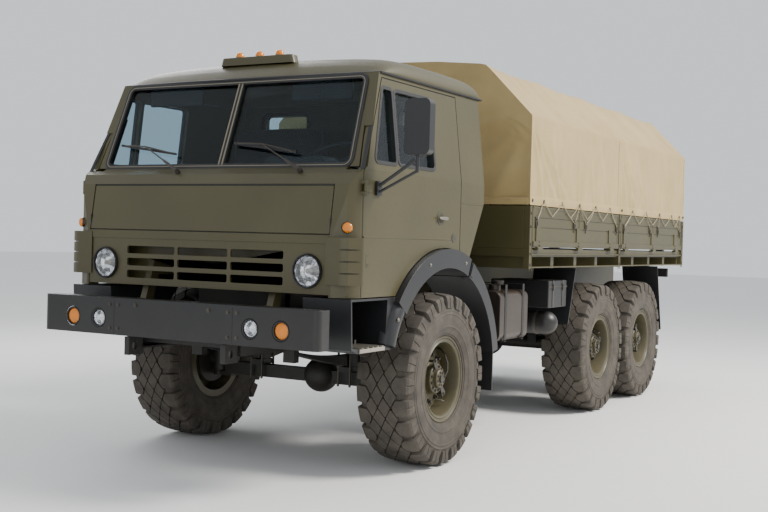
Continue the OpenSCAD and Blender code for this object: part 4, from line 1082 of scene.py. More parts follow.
def add_fenders():
    """Front arches with rounded lips, split between cab and chassis, and the steps."""
    axle = TYRE_R
    for side in SIDES:
        name = NAMES[side]
        bm = bmesh.new()
        arch_lip(bm, side, 67.3, 160, taper_high=True)
        from_bmesh(f"{name}_cab_arch", bm, PLASTIC, "cab", angle=50)
        bm = bmesh.new()
        arch_lip(bm, side, 10.5, 65.6, taper_low=True)
        a = math.radians(64.5)
        along_r = Vector((0, math.cos(a), math.sin(a)))
        add_band(bm, [[Vector((side * x, 0, axle)) + along_r * r + Vector(
            (0, -math.sin(a), math.cos(a))) * t for x, r in (
            (1.13, 0.78), (1.206, 0.8), (1.208, 0.9), (1.13, 0.925))] for t in (-0.03, 0.012)])
        from_bmesh(f"{name}_chassis_arch", bm, PLASTIC, "chassis", 0.004)
        bm = bmesh.new()
        for angle in (72, 110, 148):
            a = math.radians(angle)
            at = Vector((side * 1.199, 0.86 * math.cos(a), axle + 0.86 * math.sin(a)))
            add_bolt(bm, at, (side, 0, 0), 0.009, 0.006)
        from_bmesh(f"{name}_arch_bolts", bm, STEEL, "cab")
        bm = bmesh.new()
        step_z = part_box("cab_fenders")[0].z
        y0, y1 = -1.145, -0.835
        add_box(bm, (side * 1.06 - 0.105, y0, step_z + 0.003), (side * 1.06 + 0.105, y1,
                                                                step_z + 0.028))
        for k in range(5):
            y = y0 + 0.03 + k * 0.0625
            add_box(bm, (side * 1.06 - 0.105, y, step_z + 0.028),
                    (side * 1.06 + 0.105, y + 0.012, step_z + 0.036))
        for k in range(4):
            y = y0 + 0.05 + k * 0.07
            add_box(bm, (side * 0.965 - 0.003, y, step_z + 0.028),
                    (side * 0.965 + 0.003, y + 0.02, step_z + 0.06))
        from_bmesh(f"{name}_step_plate", bm, STEP_METAL, "cab", 0.003)
        bm = bmesh.new()
        add_box(bm, (side * 0.99 - 0.01, -1.0, step_z + 0.03), (side * 0.99 + 0.01, -0.99,
                                                              SILL - 0.02))
        from_bmesh(f"{name}_step_divider", bm, PLASTIC, "cab", 0.002)


def add_cab_inside():
    """Steering wheel, instrument hood with its dials, sun visors and gear lever."""
    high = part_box("dashboard")[1]
    bm = bmesh.new()
    hood = rounded_outline([(0.3, high.z - 0.02), (0.82, high.z - 0.02),
                            (0.78, high.z + 0.075), (0.34, high.z + 0.075)], 0.04, 4)
    add_band(bm, [[Vector((p.x, y, p.y)) for p in hood] for y in (-1.04, -0.86)])
    from_bmesh("instrument_hood", bm, DASH, "cab", 0.01)
    bm = bmesh.new()
    for x in (0.44, 0.56, 0.68):
        add_rod(bm, (x, -0.862, high.z + 0.025), (x, -0.852, high.z + 0.025), 0.042, 24)
    from_bmesh("instrument_dials", bm, RUBBER, "cab")
    bm = bmesh.new()
    for x in (-0.62, 0.62):
        add_box(bm, (x - 0.24, -0.82, GUTTER - 0.16), (x + 0.24, -0.805, GUTTER - 0.02))
    from_bmesh("sun_visors", bm, SEAT, "cab", 0.006, slot="black_plastic")
    bm = bmesh.new()
    add_tube(bm, [(0.18, -0.3, SILL + 0.24), (0.18, -0.34, SILL + 0.5),
                  (0.2, -0.4, SILL + 0.72)], 0.011)
    add_lathe(bm, [(0.0, -0.028), (0.02, -0.02), (0.028, 0), (0.02, 0.02), (0, 0.028)],
              (0.2, -0.4, SILL + 0.735), (0, 0, 1), 16)
    from_bmesh("gear_lever", bm, DASH, "cab")
    rounded("steering_wheel", DASH, 0.004)


def add_seat(name, x0, x1, floor):
    """One soft seat: a cushion and a leaning back, each domed in its middle."""
    def pillow(piece, centre, size, lean, dome):
        bm = bmesh.new()
        bmesh.ops.create_cube(bm, size=1)
        bmesh.ops.subdivide_edges(bm, edges=bm.edges, cuts=7, use_grid_fill=True)
        for v in bm.verts:
            x, y, z = v.co.x * 2, v.co.y * 2, v.co.z * 2
            lift = (1 - x ** 4) * (1 - z ** 4 if lean else 1 - y ** 4)
            pinch = 1 - 0.05 * (abs(x) ** 6 + abs(y) ** 6 + abs(z) ** 6)
            v.co = Vector((x * size[0] * pinch, y * size[1] * pinch, z * size[2] * pinch)) / 2
            if lean and y < 0:
                v.co.y -= dome * lift
            if not lean and z > 0:
                v.co.z += dome * lift
        bmesh.ops.rotate(bm, verts=bm.verts, matrix=Matrix.Rotation(-lean, 3, "X"))
        bmesh.ops.translate(bm, verts=bm.verts, vec=centre)
        return from_bmesh(f"{name}_{piece}", bm, SEAT, "cab", 0.01)
    middle, width = (x0 + x1) / 2, x1 - x0
    low = pillow("cushion", (middle, -0.005, floor + 0.36), (width, 0.5, 0.12), 0, 0.012)
    back = pillow("backrest", (middle, 0.327, floor + 0.725), (width, 0.12, 0.56),
                  math.radians(9.5), 0.012)
    return low


def add_seats():
    """Driver's seat and the passengers' bench."""
    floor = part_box("seats")[0].z
    cushions = [add_seat(name, x0, x1, floor) for name, x0, x1 in SEATS]
    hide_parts("seats")
    bm = bmesh.new()
    for x0, x1 in ((x0 + 0.06, x1 - 0.06) for _, x0, x1 in SEATS):
        add_box(bm, (x0, -0.17, floor), (x1, 0.23, floor + 0.3))
        add_box(bm, (x0 + 0.02, 0.25, floor + 0.2), (x1 - 0.02, 0.285, floor + 0.46))
    from_bmesh("seat_frames", bm, DARK_STEEL, "cab", 0.006, slot="black_paint")


def add_mirror():
    """Mirror head with its glass; its arms keep the CAD's shape."""
    bm = bmesh.new()
    head = rounded_outline([(HALF_CAB + 0.19, BELT + 0.1), (HALF_CAB + 0.34, BELT + 0.1),
                            (HALF_CAB + 0.34, BELT + 0.42), (HALF_CAB + 0.19, BELT + 0.42)],
                           0.03, 4)
    add_band(bm, [[Vector((p.x, y, p.y)) for p in head] for y in (-0.8899, -0.8885)])
    from_bmesh("left_mirror_glass", bm, MIRROR, "left_door")
    rounded("left_mirror", PLASTIC, 0.008, angle=30)


for node, material, edge in (
        ("cab_shell", OLIVE, 0.007), ("front_grille", OLIVE, 0.0025),
        ("front_flap", OLIVE, 0.006), ("corner_deflectors", OLIVE, 0.004),
        ("left_door", OLIVE, 0.003), ("right_door", OLIVE, 0.003), ("dashboard", DASH, 0.015),
        ("cab_fenders", PLASTIC, 0.005)):
    rounded(node, material, edge, angle=22)
add_screen_gaskets()
add_roof()
add_roof_lamps()
for cab_side in SIDES:
    add_headlamp(cab_side)
    add_side_marker(cab_side)
    add_door_parts(cab_side)
for wiper_side, pivot in WIPERS:
    add_wiper(wiper_side, pivot)
add_seams()
add_cab_panels()
add_pillar_covers()
add_rear_window_frames()
add_fenders()
add_cab_inside()
add_seats()
add_mirror()


# ---- Load bed and canvas ----

TENT_LOW, TENT_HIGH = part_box("canvas_tent")
BOARD_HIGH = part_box("left_front_side")[1]
BED_LOW = BOARD_HIGH.z - 0.51
POST_STARTS = (TENT_LOW.y, BOARD_HIGH.y + 0.008, TENT_HIGH.y - 0.062)
HEM = TENT_LOW.z
EAVE = TENT_HIGH.z - 0.49
WALL_X = TENT_HIGH.x - 0.006
PEAK = TENT_HIGH.z - 0.006
SHOULDER_X = WALL_X - 0.422
HALF_SECTION = ((WALL_X, HEM), (WALL_X, EAVE), (SHOULDER_X, PEAK - 0.053),
                (WALL_X - 0.868, PEAK - 0.012), (0.0, PEAK))
WALL_ROWS = 36
SEAM_W = 0.028
MIDDLE_SEAM = (3.585, 3.625)
WALL_FANS = ((0.33, 0.02), (0.72, 0.016), (1.15, 0.01))
HINGE_SHARES = (0.05, 0.48, 0.88)
POST_BOLTS = (0.03, 0.12, 0.2, 0.34, 0.45)
EYELET_Z = HEM + 0.034
EYELET_R = 0.0125
EYELETS = (1.40, 1.61, 2.04, 2.47, 2.91, 3.32, 3.67, 4.03, 4.49, 4.98, 5.44, 5.78, 5.93)
BOWS = (TENT_LOW.y, 2.47, 3.6, 4.79, TENT_HIGH.y)


def section_point(index, share):
    """A point of the canvas section's half, from hem to ridge."""
    a, b = HALF_SECTION[index], HALF_SECTION[index + 1]
    return Vector((a[0] + (b[0] - a[0]) * share, a[1] + (b[1] - a[1]) * share))


def ridge_of(value, centre, width):
    """A rounded bump, 1 on its centre line."""
    return math.exp(-((value - centre) / width) ** 2)


def wall_fold(y, z):
    """How far a side wall stands out: folds run from the eave to each eyelet."""
    up = min(1.0, max(0.0, (z - HEM) / (EAVE - HEM)))
    out = 0.0
    for eyelet in EYELETS[1:]:
        start = min(BOWS, key=lambda bow: abs(bow + 0.35 - eyelet))
        pull = 0.45 if eyelet - start < 0.9 else 0.2
        line = eyelet + (start + 0.03 - eyelet) * pull * up
        width = 0.016 + 0.06 * up
        out += 0.016 * (1 - up) ** 0.8 * ridge_of(y, line, width)
        out -= 0.011 * (1 - up) ** 0.5 * ridge_of(y, line + 0.05 + 0.03 * up, width * 1.3)
    for corner in (BOWS[0], BOWS[2]):
        for reach, size in WALL_FANS:
            line = corner + 0.012 + reach * (1 - up) * 0.82
            width = 0.01 + 0.045 * (1 - up)
            out += size * min(1.0, 3 * (1 - up)) * up ** 0.3 * ridge_of(y, line, width)
            out -= size * 0.7 * up ** 0.4 * ridge_of(y, line + width * 1.6, width)
    line = BOWS[4] - 0.03 - 0.5 * (1 - up)
    out += 0.014 * ridge_of(y, line, 0.03 + 0.03 * (1 - up))
    out += 0.002 * math.sin(17 * y + 3 * z) + 0.0015 * math.sin(41 * y - 9 * z)
    return min(0.012, out - 0.004) * min(1.0, 6 * (1 - up) + 0.05)


def roof_sag(y, share):
    """How far the roof cloth sinks between two bows, with soft creases along them."""
    for a, b in zip(BOWS, BOWS[1:]):
        if y <= b + 1e-6:
            t = (y - a) / (b - a)
            sink = 0.02 * math.sin(math.pi * t) ** 0.8
            crease = 0.003 * math.sin(9 * math.pi * t + 5 * share) * math.sin(math.pi * t)
            return (sink + crease) * math.sin(math.pi * min(1.0, 0.12 + 0.88 * share)) ** 0.5
    return 0.0


def wall_point(side, y, z):
    """A point of the canvas side wall."""
    edge = min(1.0, (y - BOWS[0]) / 0.03, (BOWS[4] - y) / 0.03)
    return Vector((side * (WALL_X + wall_fold(y, z) * max(0.0, edge)), y, z))


def end_fold(x, z):
    """Folds of an end panel: two fans from its shoulder and eave corners."""
    out = 0.0
    for side in SIDES:
        for at, reaches in (((SHOULDER_X, TENT_HIGH.z - 0.06), (0.1, 0.5, 0.95, 1.35)),
                            ((WALL_X, EAVE), (2.35, 2.75, 3.3))):
            dx, dz = side * x - at[0], z - at[1]
            distance = math.hypot(dx, dz)
            turn = math.atan2(-dx, -dz) % (2 * math.pi)
            turn = turn - math.pi if at[1] == EAVE and turn > math.pi else turn
            for reach in reaches:
                goal = reach if at[1] != EAVE else reach - 1.9
                out += 0.03 * min(1.0, distance / 0.15) * math.exp(-distance / 0.8) * math.exp(
                    -((turn - goal) / 0.09) ** 2)
    low = (z - HEM) / 0.4
    if low < 1:
        out += 0.006 * (1 - low) * math.sin(15 * x)
    return out - 0.015


def canvas_grid():
    """The cover as one sheet: side walls, roof and both closed ends, sharing their edges."""
    steps = sorted({TENT_LOW.y, TENT_HIGH.y, TENT_LOW.y + 0.012, TENT_HIGH.y - 0.012}
                   | {round(TENT_LOW.y + 0.02 * k, 4) for k in range(1, 232)})
    wall_z = [HEM + (EAVE - HEM) * k / WALL_ROWS for k in range(WALL_ROWS + 1)]
    roof = [(1, k / 10) for k in range(1, 10)] + [(2, k / 8) for k in range(9)] + [
        (3, k / 5) for k in range(1, 6)]
    bm = bmesh.new()
    seen = {}

    def vertex(point):
        key = tuple(round(c, 5) for c in point)
        if key not in seen:
            seen[key] = bm.verts.new(point)
        return seen[key]

    def face(*corners):
        unique = list(dict.fromkeys(corners))
        if len(unique) > 2 and not bm.faces.get(unique):
            bm.faces.new(unique)

    def roof_point(side, y, index, share):
        flat = section_point(index, share)
        turn = (index - 1 + share) / 3
        rounding = 0.006 if (index, share) in ((1, 0.0), (2, 0.0)) else 0.0
        return Vector((side * flat.x, y, flat.y - roof_sag(y, turn) - rounding))

    rows = []
    for y in steps:
        left = [wall_point(1, y, z) for z in wall_z]
        right = [wall_point(-1, y, z) for z in wall_z]
        middle = [roof_point(1, y, i, s) for i, s in roof]
        other = [roof_point(-1, y, i, s) for i, s in roof[:-1]]
        rows.append([vertex(p) for p in left + middle + other[::-1] + right[::-1]])
    for a, b in zip(rows, rows[1:]):
        for k in range(len(a) - 1):
            face(a[k], a[k + 1], b[k + 1], b[k])
    for end, out in ((0, -1), (-1, 1)):
        loop = rows[end]
        across = loop[WALL_ROWS:len(loop) - WALL_ROWS]
        y = steps[end]
        grid = [across]
        for k in range(WALL_ROWS - 1, -1, -1):
            line = [loop[k]]
            share = k / WALL_ROWS
            for top in across[1:-1]:
                x = top.co.x
                z = HEM + (top.co.z - HEM) * share
                fade = min(1.0, (WALL_X - abs(x)) / 0.06, (1 - share) * 8)
                line.append(vertex(Vector((x, y + out * end_fold(x, z) * fade, z))))
            line.append(loop[len(loop) - 1 - k])
            grid.append(line)
        for a, b in zip(grid, grid[1:]):
            for k in range(len(a) - 1):
                if out < 0:
                    face(a[k], b[k], b[k + 1], a[k + 1])
                else:
                    face(a[k], a[k + 1], b[k + 1], b[k])
    return bm


def add_canvas():
    """The tarpaulin, its hem, corner seams, eyelets and the bows that carry it."""
    bm = canvas_grid()
    bmesh.ops.recalc_face_normals(bm, faces=bm.faces)
    cover = from_bmesh("canvas_cover", bm, CANVAS, "chassis", angle=75)
    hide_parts("canvas_tent")
    ys = [TENT_LOW.y + 0.002 + (TENT_HIGH.y - TENT_LOW.y - 0.004) * k / 150 for k in range(151)]
    for side in SIDES:
        name = NAMES[side]
        bm = bmesh.new()
        out = Vector((side, 0, 0))
        rings = []
        for y in ys:
            ring = []
            for z, d in ((HEM - 0.003, 0.0005), (HEM - 0.003, 0.004), (HEM + 0.03, 0.0045),
                         (HEM + 0.068, 0.004), (HEM + 0.072, 0.0005)):
                ring.append(wall_point(side, y, max(z, HEM)) + out * d
                            + Vector((0, 0, min(0, z - HEM))))
            rings.append(ring)
        add_band(bm, rings)
        for y0, y1 in ((TENT_LOW.y + 0.001, TENT_LOW.y + SEAM_W), MIDDLE_SEAM,
                       (TENT_HIGH.y - SEAM_W, TENT_HIGH.y - 0.001)):
            rings = []
            for k in range(25):
                z = HEM + (EAVE - HEM - 0.012) * k / 24
                rings.append([wall_point(side, y0, z), wall_point(side, y0, z) + out * 0.003,
                              wall_point(side, y1, z) + out * 0.003, wall_point(side, y1, z)])
            add_band(bm, rings)
        from_bmesh(f"canvas_hem_{name}", bm, CANVAS, "chassis", angle=50)
        bm = bmesh.new()
        for y in EYELETS:
            at = wall_point(side, y, EYELET_Z) + out * 0.006
            add_ring(bm, at, Vector((0, 1, 0)), EYELET_R, EYELET_R, 0.0032)
            add_rod(bm, at - out * 0.004, at - out * 0.001, 0.011, 14)
        from_bmesh(f"canvas_eyelets_{name}", bm, DARK_STEEL, "chassis")
    bm = bmesh.new()
    for y, out in ((TENT_LOW.y, -1), (TENT_HIGH.y, 1)):
        add_band(bm, [[Vector((x, y + out * d, z)) for d, z in (
            (-0.012, HEM), (0.004, HEM - 0.002), (0.006, HEM + 0.05), (-0.01, HEM + 0.058))]
            for x in (-WALL_X + 0.01, WALL_X - 0.01)])
        for k in range(-3, 4):
            at = Vector((k * 0.35, y + out * 0.008, EYELET_Z))
            add_ring(bm, at, Vector((1, 0, 0)), EYELET_R, EYELET_R, 0.0032)
    from_bmesh("canvas_end_hems", bm, CANVAS, "chassis", angle=50)
    add_bows()


def add_bows():
    """Steel hoops and rails just under the canvas."""
    bm = bmesh.new()
    inset = 0.035
    for y in BOWS:
        at = min(max(y, TENT_LOW.y + 0.03), TENT_HIGH.y - 0.03)
        half = [section_point(0, 0), section_point(0, 1), section_point(2, 0),
                section_point(3, 0), section_point(3, 1)]
        points = [Vector((p.x - inset, at, p.y - inset)) for p in half[:4]]
        points[0].z = HEM - 0.02
        points += [Vector((-p.x, p.y, p.z)) for p in points[::-1]]
        add_tube(bm, points, 0.013, 8)
    for x, z in ((WALL_X - 0.03, EAVE - 0.05), (WALL_X - 0.43, TENT_HIGH.z - 0.115)):
        for side in SIDES:
            add_rod(bm, (side * x, TENT_LOW.y + 0.03, z), (side * x, TENT_HIGH.y - 0.03, z),
                    0.011, 8)
    # The bows take the darker copy of the olive: painted shade under the canvas.
    from_bmesh("canvas_bows", bm, OLIVE_SHADED, "chassis")


def add_board(node):
    """One dropping side: bevelled panel, ledge, joint strip, hinges, latches and lacing."""
    body = body_of(node)
    side = 1 if node.startswith("left") else -1
    low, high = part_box(node)
    face = TENT_HIGH.x - 0.005
    y0, y1 = low.y, high.y
    z0, z1 = BOARD_HIGH.z - 0.335, BOARD_HIGH.z
    rounded(node, OLIVE, 0.003)
    bm = bmesh.new()
    for sections in (
            ((0.0, z0 + 0.002), (0.009, z0 + 0.004), (0.011, z0 + 0.044), (0.0, z0 + 0.052)),
            ((0.0, z1 - 0.022), (0.005, z1 - 0.018), (0.005, z1 - 0.003), (0.0, z1 - 0.001))):
        add_band(bm, [[Vector((side * (face + d), y, z)) for d, z in sections]
                      for y in (y0 + 0.012, y1 - 0.012)])
    middle = (y0 + y1) / 2
    for y in (y0 + 0.018, middle, y1 - 0.018):
        add_box(bm, (side * face - 0.003, y - 0.013, z0 + 0.05),
                (side * face + 0.003, y + 0.013, z1 - 0.02))
    from_bmesh(f"{node}_frame", bm, OLIVE, body, 0.002)
    bm = bmesh.new()
    for y in (middle - 0.0155, middle + 0.0155):
        add_box(bm, (side * face - 0.001, y - 0.002, z0 + 0.05),
                (side * face + 0.001, y + 0.002, z1 - 0.02))
    from_bmesh(f"{node}_joint_lines", bm, CHASSIS, body)
    bm = bmesh.new()
    length = y1 - y0
    latches = [y0 + 0.075, middle - 0.15, middle + 0.15, y1 - 0.08]
    for y in latches:
        add_box(bm, (side * (face + 0.002) - 0.002, y - 0.016, z1 - 0.165),
                (side * (face + 0.002) + 0.002, y + 0.016, z1 - 0.085))
        add_ring(bm, Vector((side * (face + 0.009), y, z1 - 0.14)), Vector((0, 1, 0)), 0.017,
                 0.026, 0.0042)
        add_rod(bm, (side * face, y, z1 - 0.108), (side * (face + 0.015), y, z1 - 0.108), 0.009)
        add_rod(bm, (side * (face + 0.004), y, z1 - 0.2), (side * (face + 0.01), y, z1 - 0.162),
                0.004, 8)
    from_bmesh(f"{node}_latches", bm, DARK_STEEL, body)
    bm = bmesh.new()
    for share in HINGE_SHARES:
        y = y0 + 0.03 + length * share * 0.98
        add_box(bm, (side * (face + 0.006) - 0.004, y - 0.016, z0 - 0.004),
                (side * (face + 0.006) + 0.004, y + 0.016, z0 + 0.06))
        for z in (z0 + 0.018, z0 + 0.044):
            add_bolt(bm, (side * (face + 0.01), y, z), (side, 0, 0), 0.007, 0.006)
    from_bmesh(f"{node}_hinge_straps", bm, OLIVE_DUSTY, body, 0.0015)
    bm = bmesh.new()
    inside = [y for y in EYELETS if y0 < y < y1]
    x = face + 0.0105
    stops = []
    for k, y in enumerate(inside):
        stops.append(Vector((side * x, y, EYELET_Z)))
        if k < len(inside) - 1:
            stops.append(Vector((side * x, (y + inside[k + 1]) / 2, z1 - 0.075)))
    stops.insert(0, Vector((side * x, latches[0], z1 - 0.118)))
    stops.append(Vector((side * x, latches[-1], z1 - 0.118)))
    for a, b in zip(stops, stops[1:]):
        sag = (a + b) / 2 + Vector((side * 0.001, 0, -0.003))
        add_tube(bm, [a, sag, b], 0.0033, 6)
    for y in inside:
        for turn in (-1, 1):
            near = min(latches, key=lambda at: abs(at - y) + (0.0 if (at - y) * turn > 0 else 9))
            if abs(near - y) < 0.45:
                add_tube(bm, [(side * x, y, EYELET_Z), (side * (x + 0.002), (y + near) / 2,
                         z1 - 0.05), (side * x, near, z1 - 0.12)], 0.0029, 6)
        add_tube(bm, [(side * x, y, EYELET_Z + 0.012), (side * (x + 0.006), y + 0.004, EYELET_Z),
                      (side * x, y + 0.002, EYELET_Z - 0.024)], 0.0042, 6)
    from_bmesh(f"{node}_lacing", bm, ROPE, body)


def add_bed():
    """Platform, posts with bolts, the sill's rails and the tailgate with its ribs."""
    rounded("bed_platform", OLIVE, 0.003)
    rounded("bed_posts", OLIVE, 0.003)
    rounded("tailgate", OLIVE, 0.003)
    x = TENT_HIGH.x
    bolts, rails = bmesh.new(), bmesh.new()
    for side in SIDES:
        for start in POST_STARTS:
            y = start + 0.031
            for rise in POST_BOLTS:
                add_bolt(bolts, (side * x, y, BED_LOW + rise), (side, 0, 0), 0.009, 0.006)
            for edge in (start + 0.005, start + 0.057):
                add_box(rails, (side * x - 0.003, edge - 0.004, BED_LOW - 0.02),
                        (side * x + 0.003, edge + 0.004, BOARD_HIGH.z))
        for z in (BED_LOW + 0.004, BED_LOW + 0.11):
            add_band(rails, [[Vector((side * (x - 0.006 + d), y, z + h)) for d, h in (
                (0.0, 0.0), (0.009, 0.002), (0.009, 0.01), (0.0, 0.014))]
                for y in (TENT_LOW.y + 0.064, TENT_HIGH.y - 0.064)])
    from_bmesh("post_bolts", bolts, DARK_STEEL, "chassis")
    from_bmesh("bed_edge_rails", rails, OLIVE, "chassis", 0.0015)
    low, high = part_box("tailgate")
    bm = bmesh.new()
    for z in (low.z + 0.13, low.z + 0.24, high.z - 0.02):
        add_band(bm, [[Vector((gx, high.y - 0.001 + d, z + h)) for d, h in (
            (0.0, -0.008), (0.006, -0.005), (0.006, 0.005), (0.0, 0.008))]
            for gx in (low.x + 0.03, high.x - 0.03)])
    from_bmesh("tailgate_ribs", bm, OLIVE, "tailgate")


add_canvas()
for board in BOARDS:
    add_board(board)
add_bed()


# ---- Bumper, underbody and tail ----

BUMPER_LOW, BUMPER_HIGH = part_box("front_bumper")
LAMP_Z = BUMPER_LOW.z + 0.107
TOW_X, TOW_Y = 0.395, -1.47
AIR_TANK_Y, AIR_TANK_Z = 2.04, 0.905
FRONT_SPRING_X = (0.345, 0.445)
TAIL_LAMP_X = (0.78, 1.09)


def add_bumper():
    """Rounded black beam in three sections, with bolts and four recessed lamps."""
    rounded("front_bumper", BLACK, 0.016, angle=40)
    y = BUMPER_LOW.y
    bm = bmesh.new()
    for x in (-0.485, 0.485):
        add_box(bm, (x - 0.003, y - 0.001, BUMPER_LOW.z + 0.008),
                (x + 0.003, y + 0.012, BUMPER_HIGH.z - 0.008))
    from_bmesh("bumper_seams", bm, RUBBER, "chassis", slot="black_paint")
    bm = bmesh.new()
    for x in (-0.52, -0.45, 0.45, 0.52):
        for z in (BUMPER_LOW.z + 0.045, BUMPER_HIGH.z - 0.045):
            add_bolt(bm, (x, y, z), (0, -1, 0), 0.01, 0.006)
    for x in (-0.3, 0.3):
        add_bolt(bm, (x, y, BUMPER_HIGH.z - 0.04), (0, -1, 0), 0.012, 0.007)
    from_bmesh("bumper_bolts", bm, DARK_STEEL, "chassis")
    first = None
    for side in SIDES:
        for x, glass, slot in ((0.62, CLEAR, "glass"), (0.85, AMBER, "amber_lens")):
            name = f"{NAMES[side]}_{'inner' if x < 0.7 else 'outer'}"
            bm = bmesh.new()
            add_lathe(bm, [(0.063, 0.06), (0.063, 0.004), (0.06, 0.0), (0.053, 0.003),
                           (0.05, 0.014), (0.05, 0.06)], (side * x, y, LAMP_Z), (0, 1, 0), 40)
            ring = from_bmesh(f"bumper_lamp_ring_{name}", bm, RUBBER, "chassis")
            bm = bmesh.new()
            add_lathe(bm, [(0.05, 0.02), (0.04, 0.035), (0.022, 0.047), (0.0, 0.052)],
                      (side * x, y, LAMP_Z), (0, 1, 0), 18)
            from_bmesh(f"bumper_lamp_bowl_{name}", bm, REFLECTOR, "chassis", angle=5)
            bm = bmesh.new()
            add_faceted_lens(bm, (side * x, y, LAMP_Z), ((0.05, 0.014), (0.042, 0.008),
                                                         (0.025, 0.0045)), 0.0012, 36)
            from_bmesh(f"bumper_lamp_lens_{name}", bm, glass, "chassis", angle=60, slot=slot)
            first = first or ring
    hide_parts("bumper_lamps")


def add_tow_pins():
    """Pins in the two front tow lugs."""
    bm = bmesh.new()
    for side in SIDES:
        add_rod(bm, (side * TOW_X, TOW_Y, 0.79), (side * TOW_X, TOW_Y, 0.885), 0.016, 14)
    from_bmesh("tow_pins", bm, DARK_STEEL, "chassis")


def add_tanks():
    """Straps and caps of the fuel tanks, battery box ribs and the air tank's bands."""
    low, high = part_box("fuel_tanks")
    rounded("fuel_tanks", BRONZE, 0.022, angle=40)
    rounded("battery_box", BLACK, 0.008)
    straps, caps = bmesh.new(), bmesh.new()
    for side in SIDES:
        x0, x1 = sorted((side * 0.51, side * (high.x + 0.003)))
        for y in (low.y + 0.11, high.y - 0.11):
            for box in (((x0, y - 0.02, high.z - 0.002), (x1, y + 0.02, high.z + 0.003)),
                        ((side * high.x - 0.003, y - 0.02, low.z + 0.01),
                         (side * high.x + 0.003, y + 0.02, high.z)),
                        ((x0, y - 0.02, low.z - 0.003), (x1, y + 0.02, low.z + 0.002))):
                add_box(straps, *box)
        at = Vector((side * 0.98, low.y + 0.285, high.z - 0.004))
        add_lathe(caps, [(0.045, 0.0), (0.045, 0.012), (0.05, 0.014), (0.05, 0.03),
                         (0.044, 0.036), (0.0, 0.036)], at, (0, 0, 1), 28)
    from_bmesh("tank_straps", straps, CHASSIS, "chassis", 0.0015)
    from_bmesh("tank_caps", caps, DARK_STEEL, "chassis")
    low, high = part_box("battery_box")
    bm = bmesh.new()
    for y in (low.y + 0.1, high.y - 0.1):
        add_box(bm, (high.x - 0.003, y - 0.014, low.z + 0.01),
                (high.x + 0.004, y + 0.014, high.z + 0.002))
    add_box(bm, (high.x - 0.003, low.y - 0.004, high.z - 0.06),
            (high.x + 0.004, high.y + 0.004, high.z - 0.05))
    for y in (low.y + 0.1, high.y - 0.1):
        add_box(bm, (high.x, y - 0.01, high.z - 0.085), (high.x + 0.012, y + 0.01, high.z - 0.03))
    from_bmesh("battery_box_straps", bm, DARK_STEEL, "chassis", 0.0015)
    bm = bmesh.new()
    for x in (0.78, 1.05):
        add_lathe(bm, [(0.1, -0.013), (0.103, -0.011), (0.103, 0.011), (0.1, 0.013)],
                  (x, AIR_TANK_Y, AIR_TANK_Z), (1, 0, 0), 36)
    from_bmesh("air_tank_bands", bm, DARK_STEEL, "chassis")


def add_springs():
    """U-bolts round the front springs and axle."""
    bm = bmesh.new()
    for side in SIDES:
        for y in (-0.075, 0.075):
            for x in FRONT_SPRING_X:
                add_rod(bm, (side * x, y, TYRE_R - 0.115), (side * x, y, TYRE_R + 0.16), 0.009, 8)
            add_rod(bm, *((side * x, y, TYRE_R + 0.16) for x in FRONT_SPRING_X), 0.009, 8)
    from_bmesh("spring_u_bolts", bm, DARK_STEEL, "chassis")


def add_tail():
    """Tail lamp housings with split lenses."""
    low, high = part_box("tail_lamps")
    first = None
    for side in SIDES:
        name = NAMES[side]
        x0, x1 = TAIL_LAMP_X
        bm = bmesh.new()
        add_box(bm, (min(side * x0, side * x1), low.y, low.z),
                (max(side * x0, side * x1), high.y - 0.014, high.z))
        body = from_bmesh(f"tail_lamp_{name}", bm, RUBBER, "chassis", 0.006)
        first = first or body
        for part, (a, b, glass, slot) in enumerate(((0.79, 0.93, RED, "amber_lens"),
                                                    (0.935, 1.08, AMBER, "amber_lens"))):
            bm = bmesh.new()
            add_box(bm, (min(side * a, side * b), high.y - 0.016, low.z + 0.01),
                    (max(side * a, side * b), high.y, high.z - 0.01))
            from_bmesh(f"tail_lens_{name}_{part + 1}", bm, glass, "chassis", 0.006, slot=slot)
    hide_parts("tail_lamps")


add_bumper()
add_tow_pins()
add_tanks()
add_springs()
add_tail()


# ---- Camera, light and floor ----

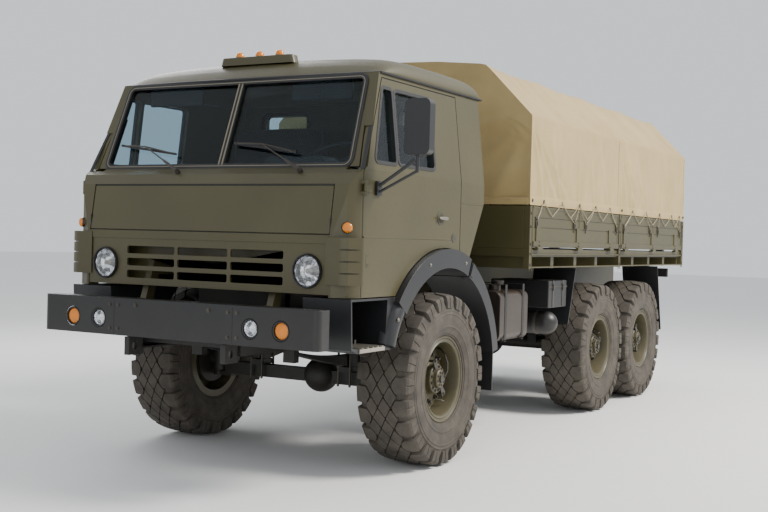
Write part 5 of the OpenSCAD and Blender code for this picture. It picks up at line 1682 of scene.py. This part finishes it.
CAMERA_AT = (4.73742, -7.15159, 1.57982)
CAMERA_RIGHT = (0.86838684, 0.49514794, 0.02707047)
CAMERA_DOWN = (0.03046098, 0.00122383, -0.99953521)
CAMERA_AHEAD = (-0.49495093, 0.86880782, -0.01401993)
FLOOR_HALF = 60.0
SKY_COLOUR, SKY_POWER = (0.93, 0.96, 1.0, 1), 0.95
LIGHTS = (
    ("key", (8.5, 4.5, 9.5), (0.6, 1.5, 1.2), (3.5, 3.5), 2300, (1.0, 0.96, 0.9)),
    ("fill", (3.0, -10.0, 3.5), (0, 0, 1.3), (7, 4), 120, (0.95, 0.97, 1.0)),
    ("rim", (-7.0, 5.0, 7.0), (0, 2, 1.5), (5, 5), 350, (1.0, 1.0, 1.0)),
)


def set_camera():
    """The photograph's viewing angle."""
    data = bpy.data.cameras.new("camera")
    data.sensor_width = 36.0
    data.lens = 53.067
    data.clip_end = 200.0
    camera = bpy.data.objects.new("camera", data)
    down, ahead = Vector(CAMERA_DOWN), Vector(CAMERA_AHEAD)
    camera.matrix_world = Matrix.Translation(CAMERA_AT) @ Matrix(
        (Vector(CAMERA_RIGHT), -down, -ahead)).transposed().to_4x4()
    bpy.context.scene.collection.objects.link(camera)
    bpy.context.scene.camera = camera


def area_light(name, at, target, size, power, colour):
    """A soft rectangular light that looks at a point."""
    data = bpy.data.lights.new(name, "AREA")
    data.shape = "RECTANGLE"
    data.size, data.size_y = size
    data.energy = power
    data.color = colour
    light = bpy.data.objects.new(name, data)
    light.location = at
    light.rotation_euler = (Vector(target) - Vector(at)).to_track_quat("-Z", "Y").to_euler()
    bpy.context.scene.collection.objects.link(light)


def set_stage():
    """Pale floor and soft light, strongest from the truck's left and above."""
    bm = bmesh.new()
    bm.faces.new([bm.verts.new((x * FLOOR_HALF, y * FLOOR_HALF, -0.001)) for x, y in (
        (-1, -1), (1, -1), (1, 1), (-1, 1))])
    material, _, shader = new_material("floor")
    shader.inputs["Base Color"].default_value = (0.8, 0.8, 0.79, 1)
    shader.inputs["Roughness"].default_value = 0.9
    mesh = bpy.data.meshes.new("floor")
    bm.to_mesh(mesh)
    bm.free()
    mesh.materials.append(material)
    floor = bpy.data.objects.new("floor", mesh)
    bpy.context.scene.collection.objects.link(floor)
    world = bpy.data.worlds.new("sky")
    world.use_nodes = True
    world.node_tree.nodes["Background"].inputs["Color"].default_value = SKY_COLOUR
    world.node_tree.nodes["Background"].inputs["Strength"].default_value = SKY_POWER
    bpy.context.scene.world = world
    for light in LIGHTS:
        area_light(*light)


set_camera()
set_stage()
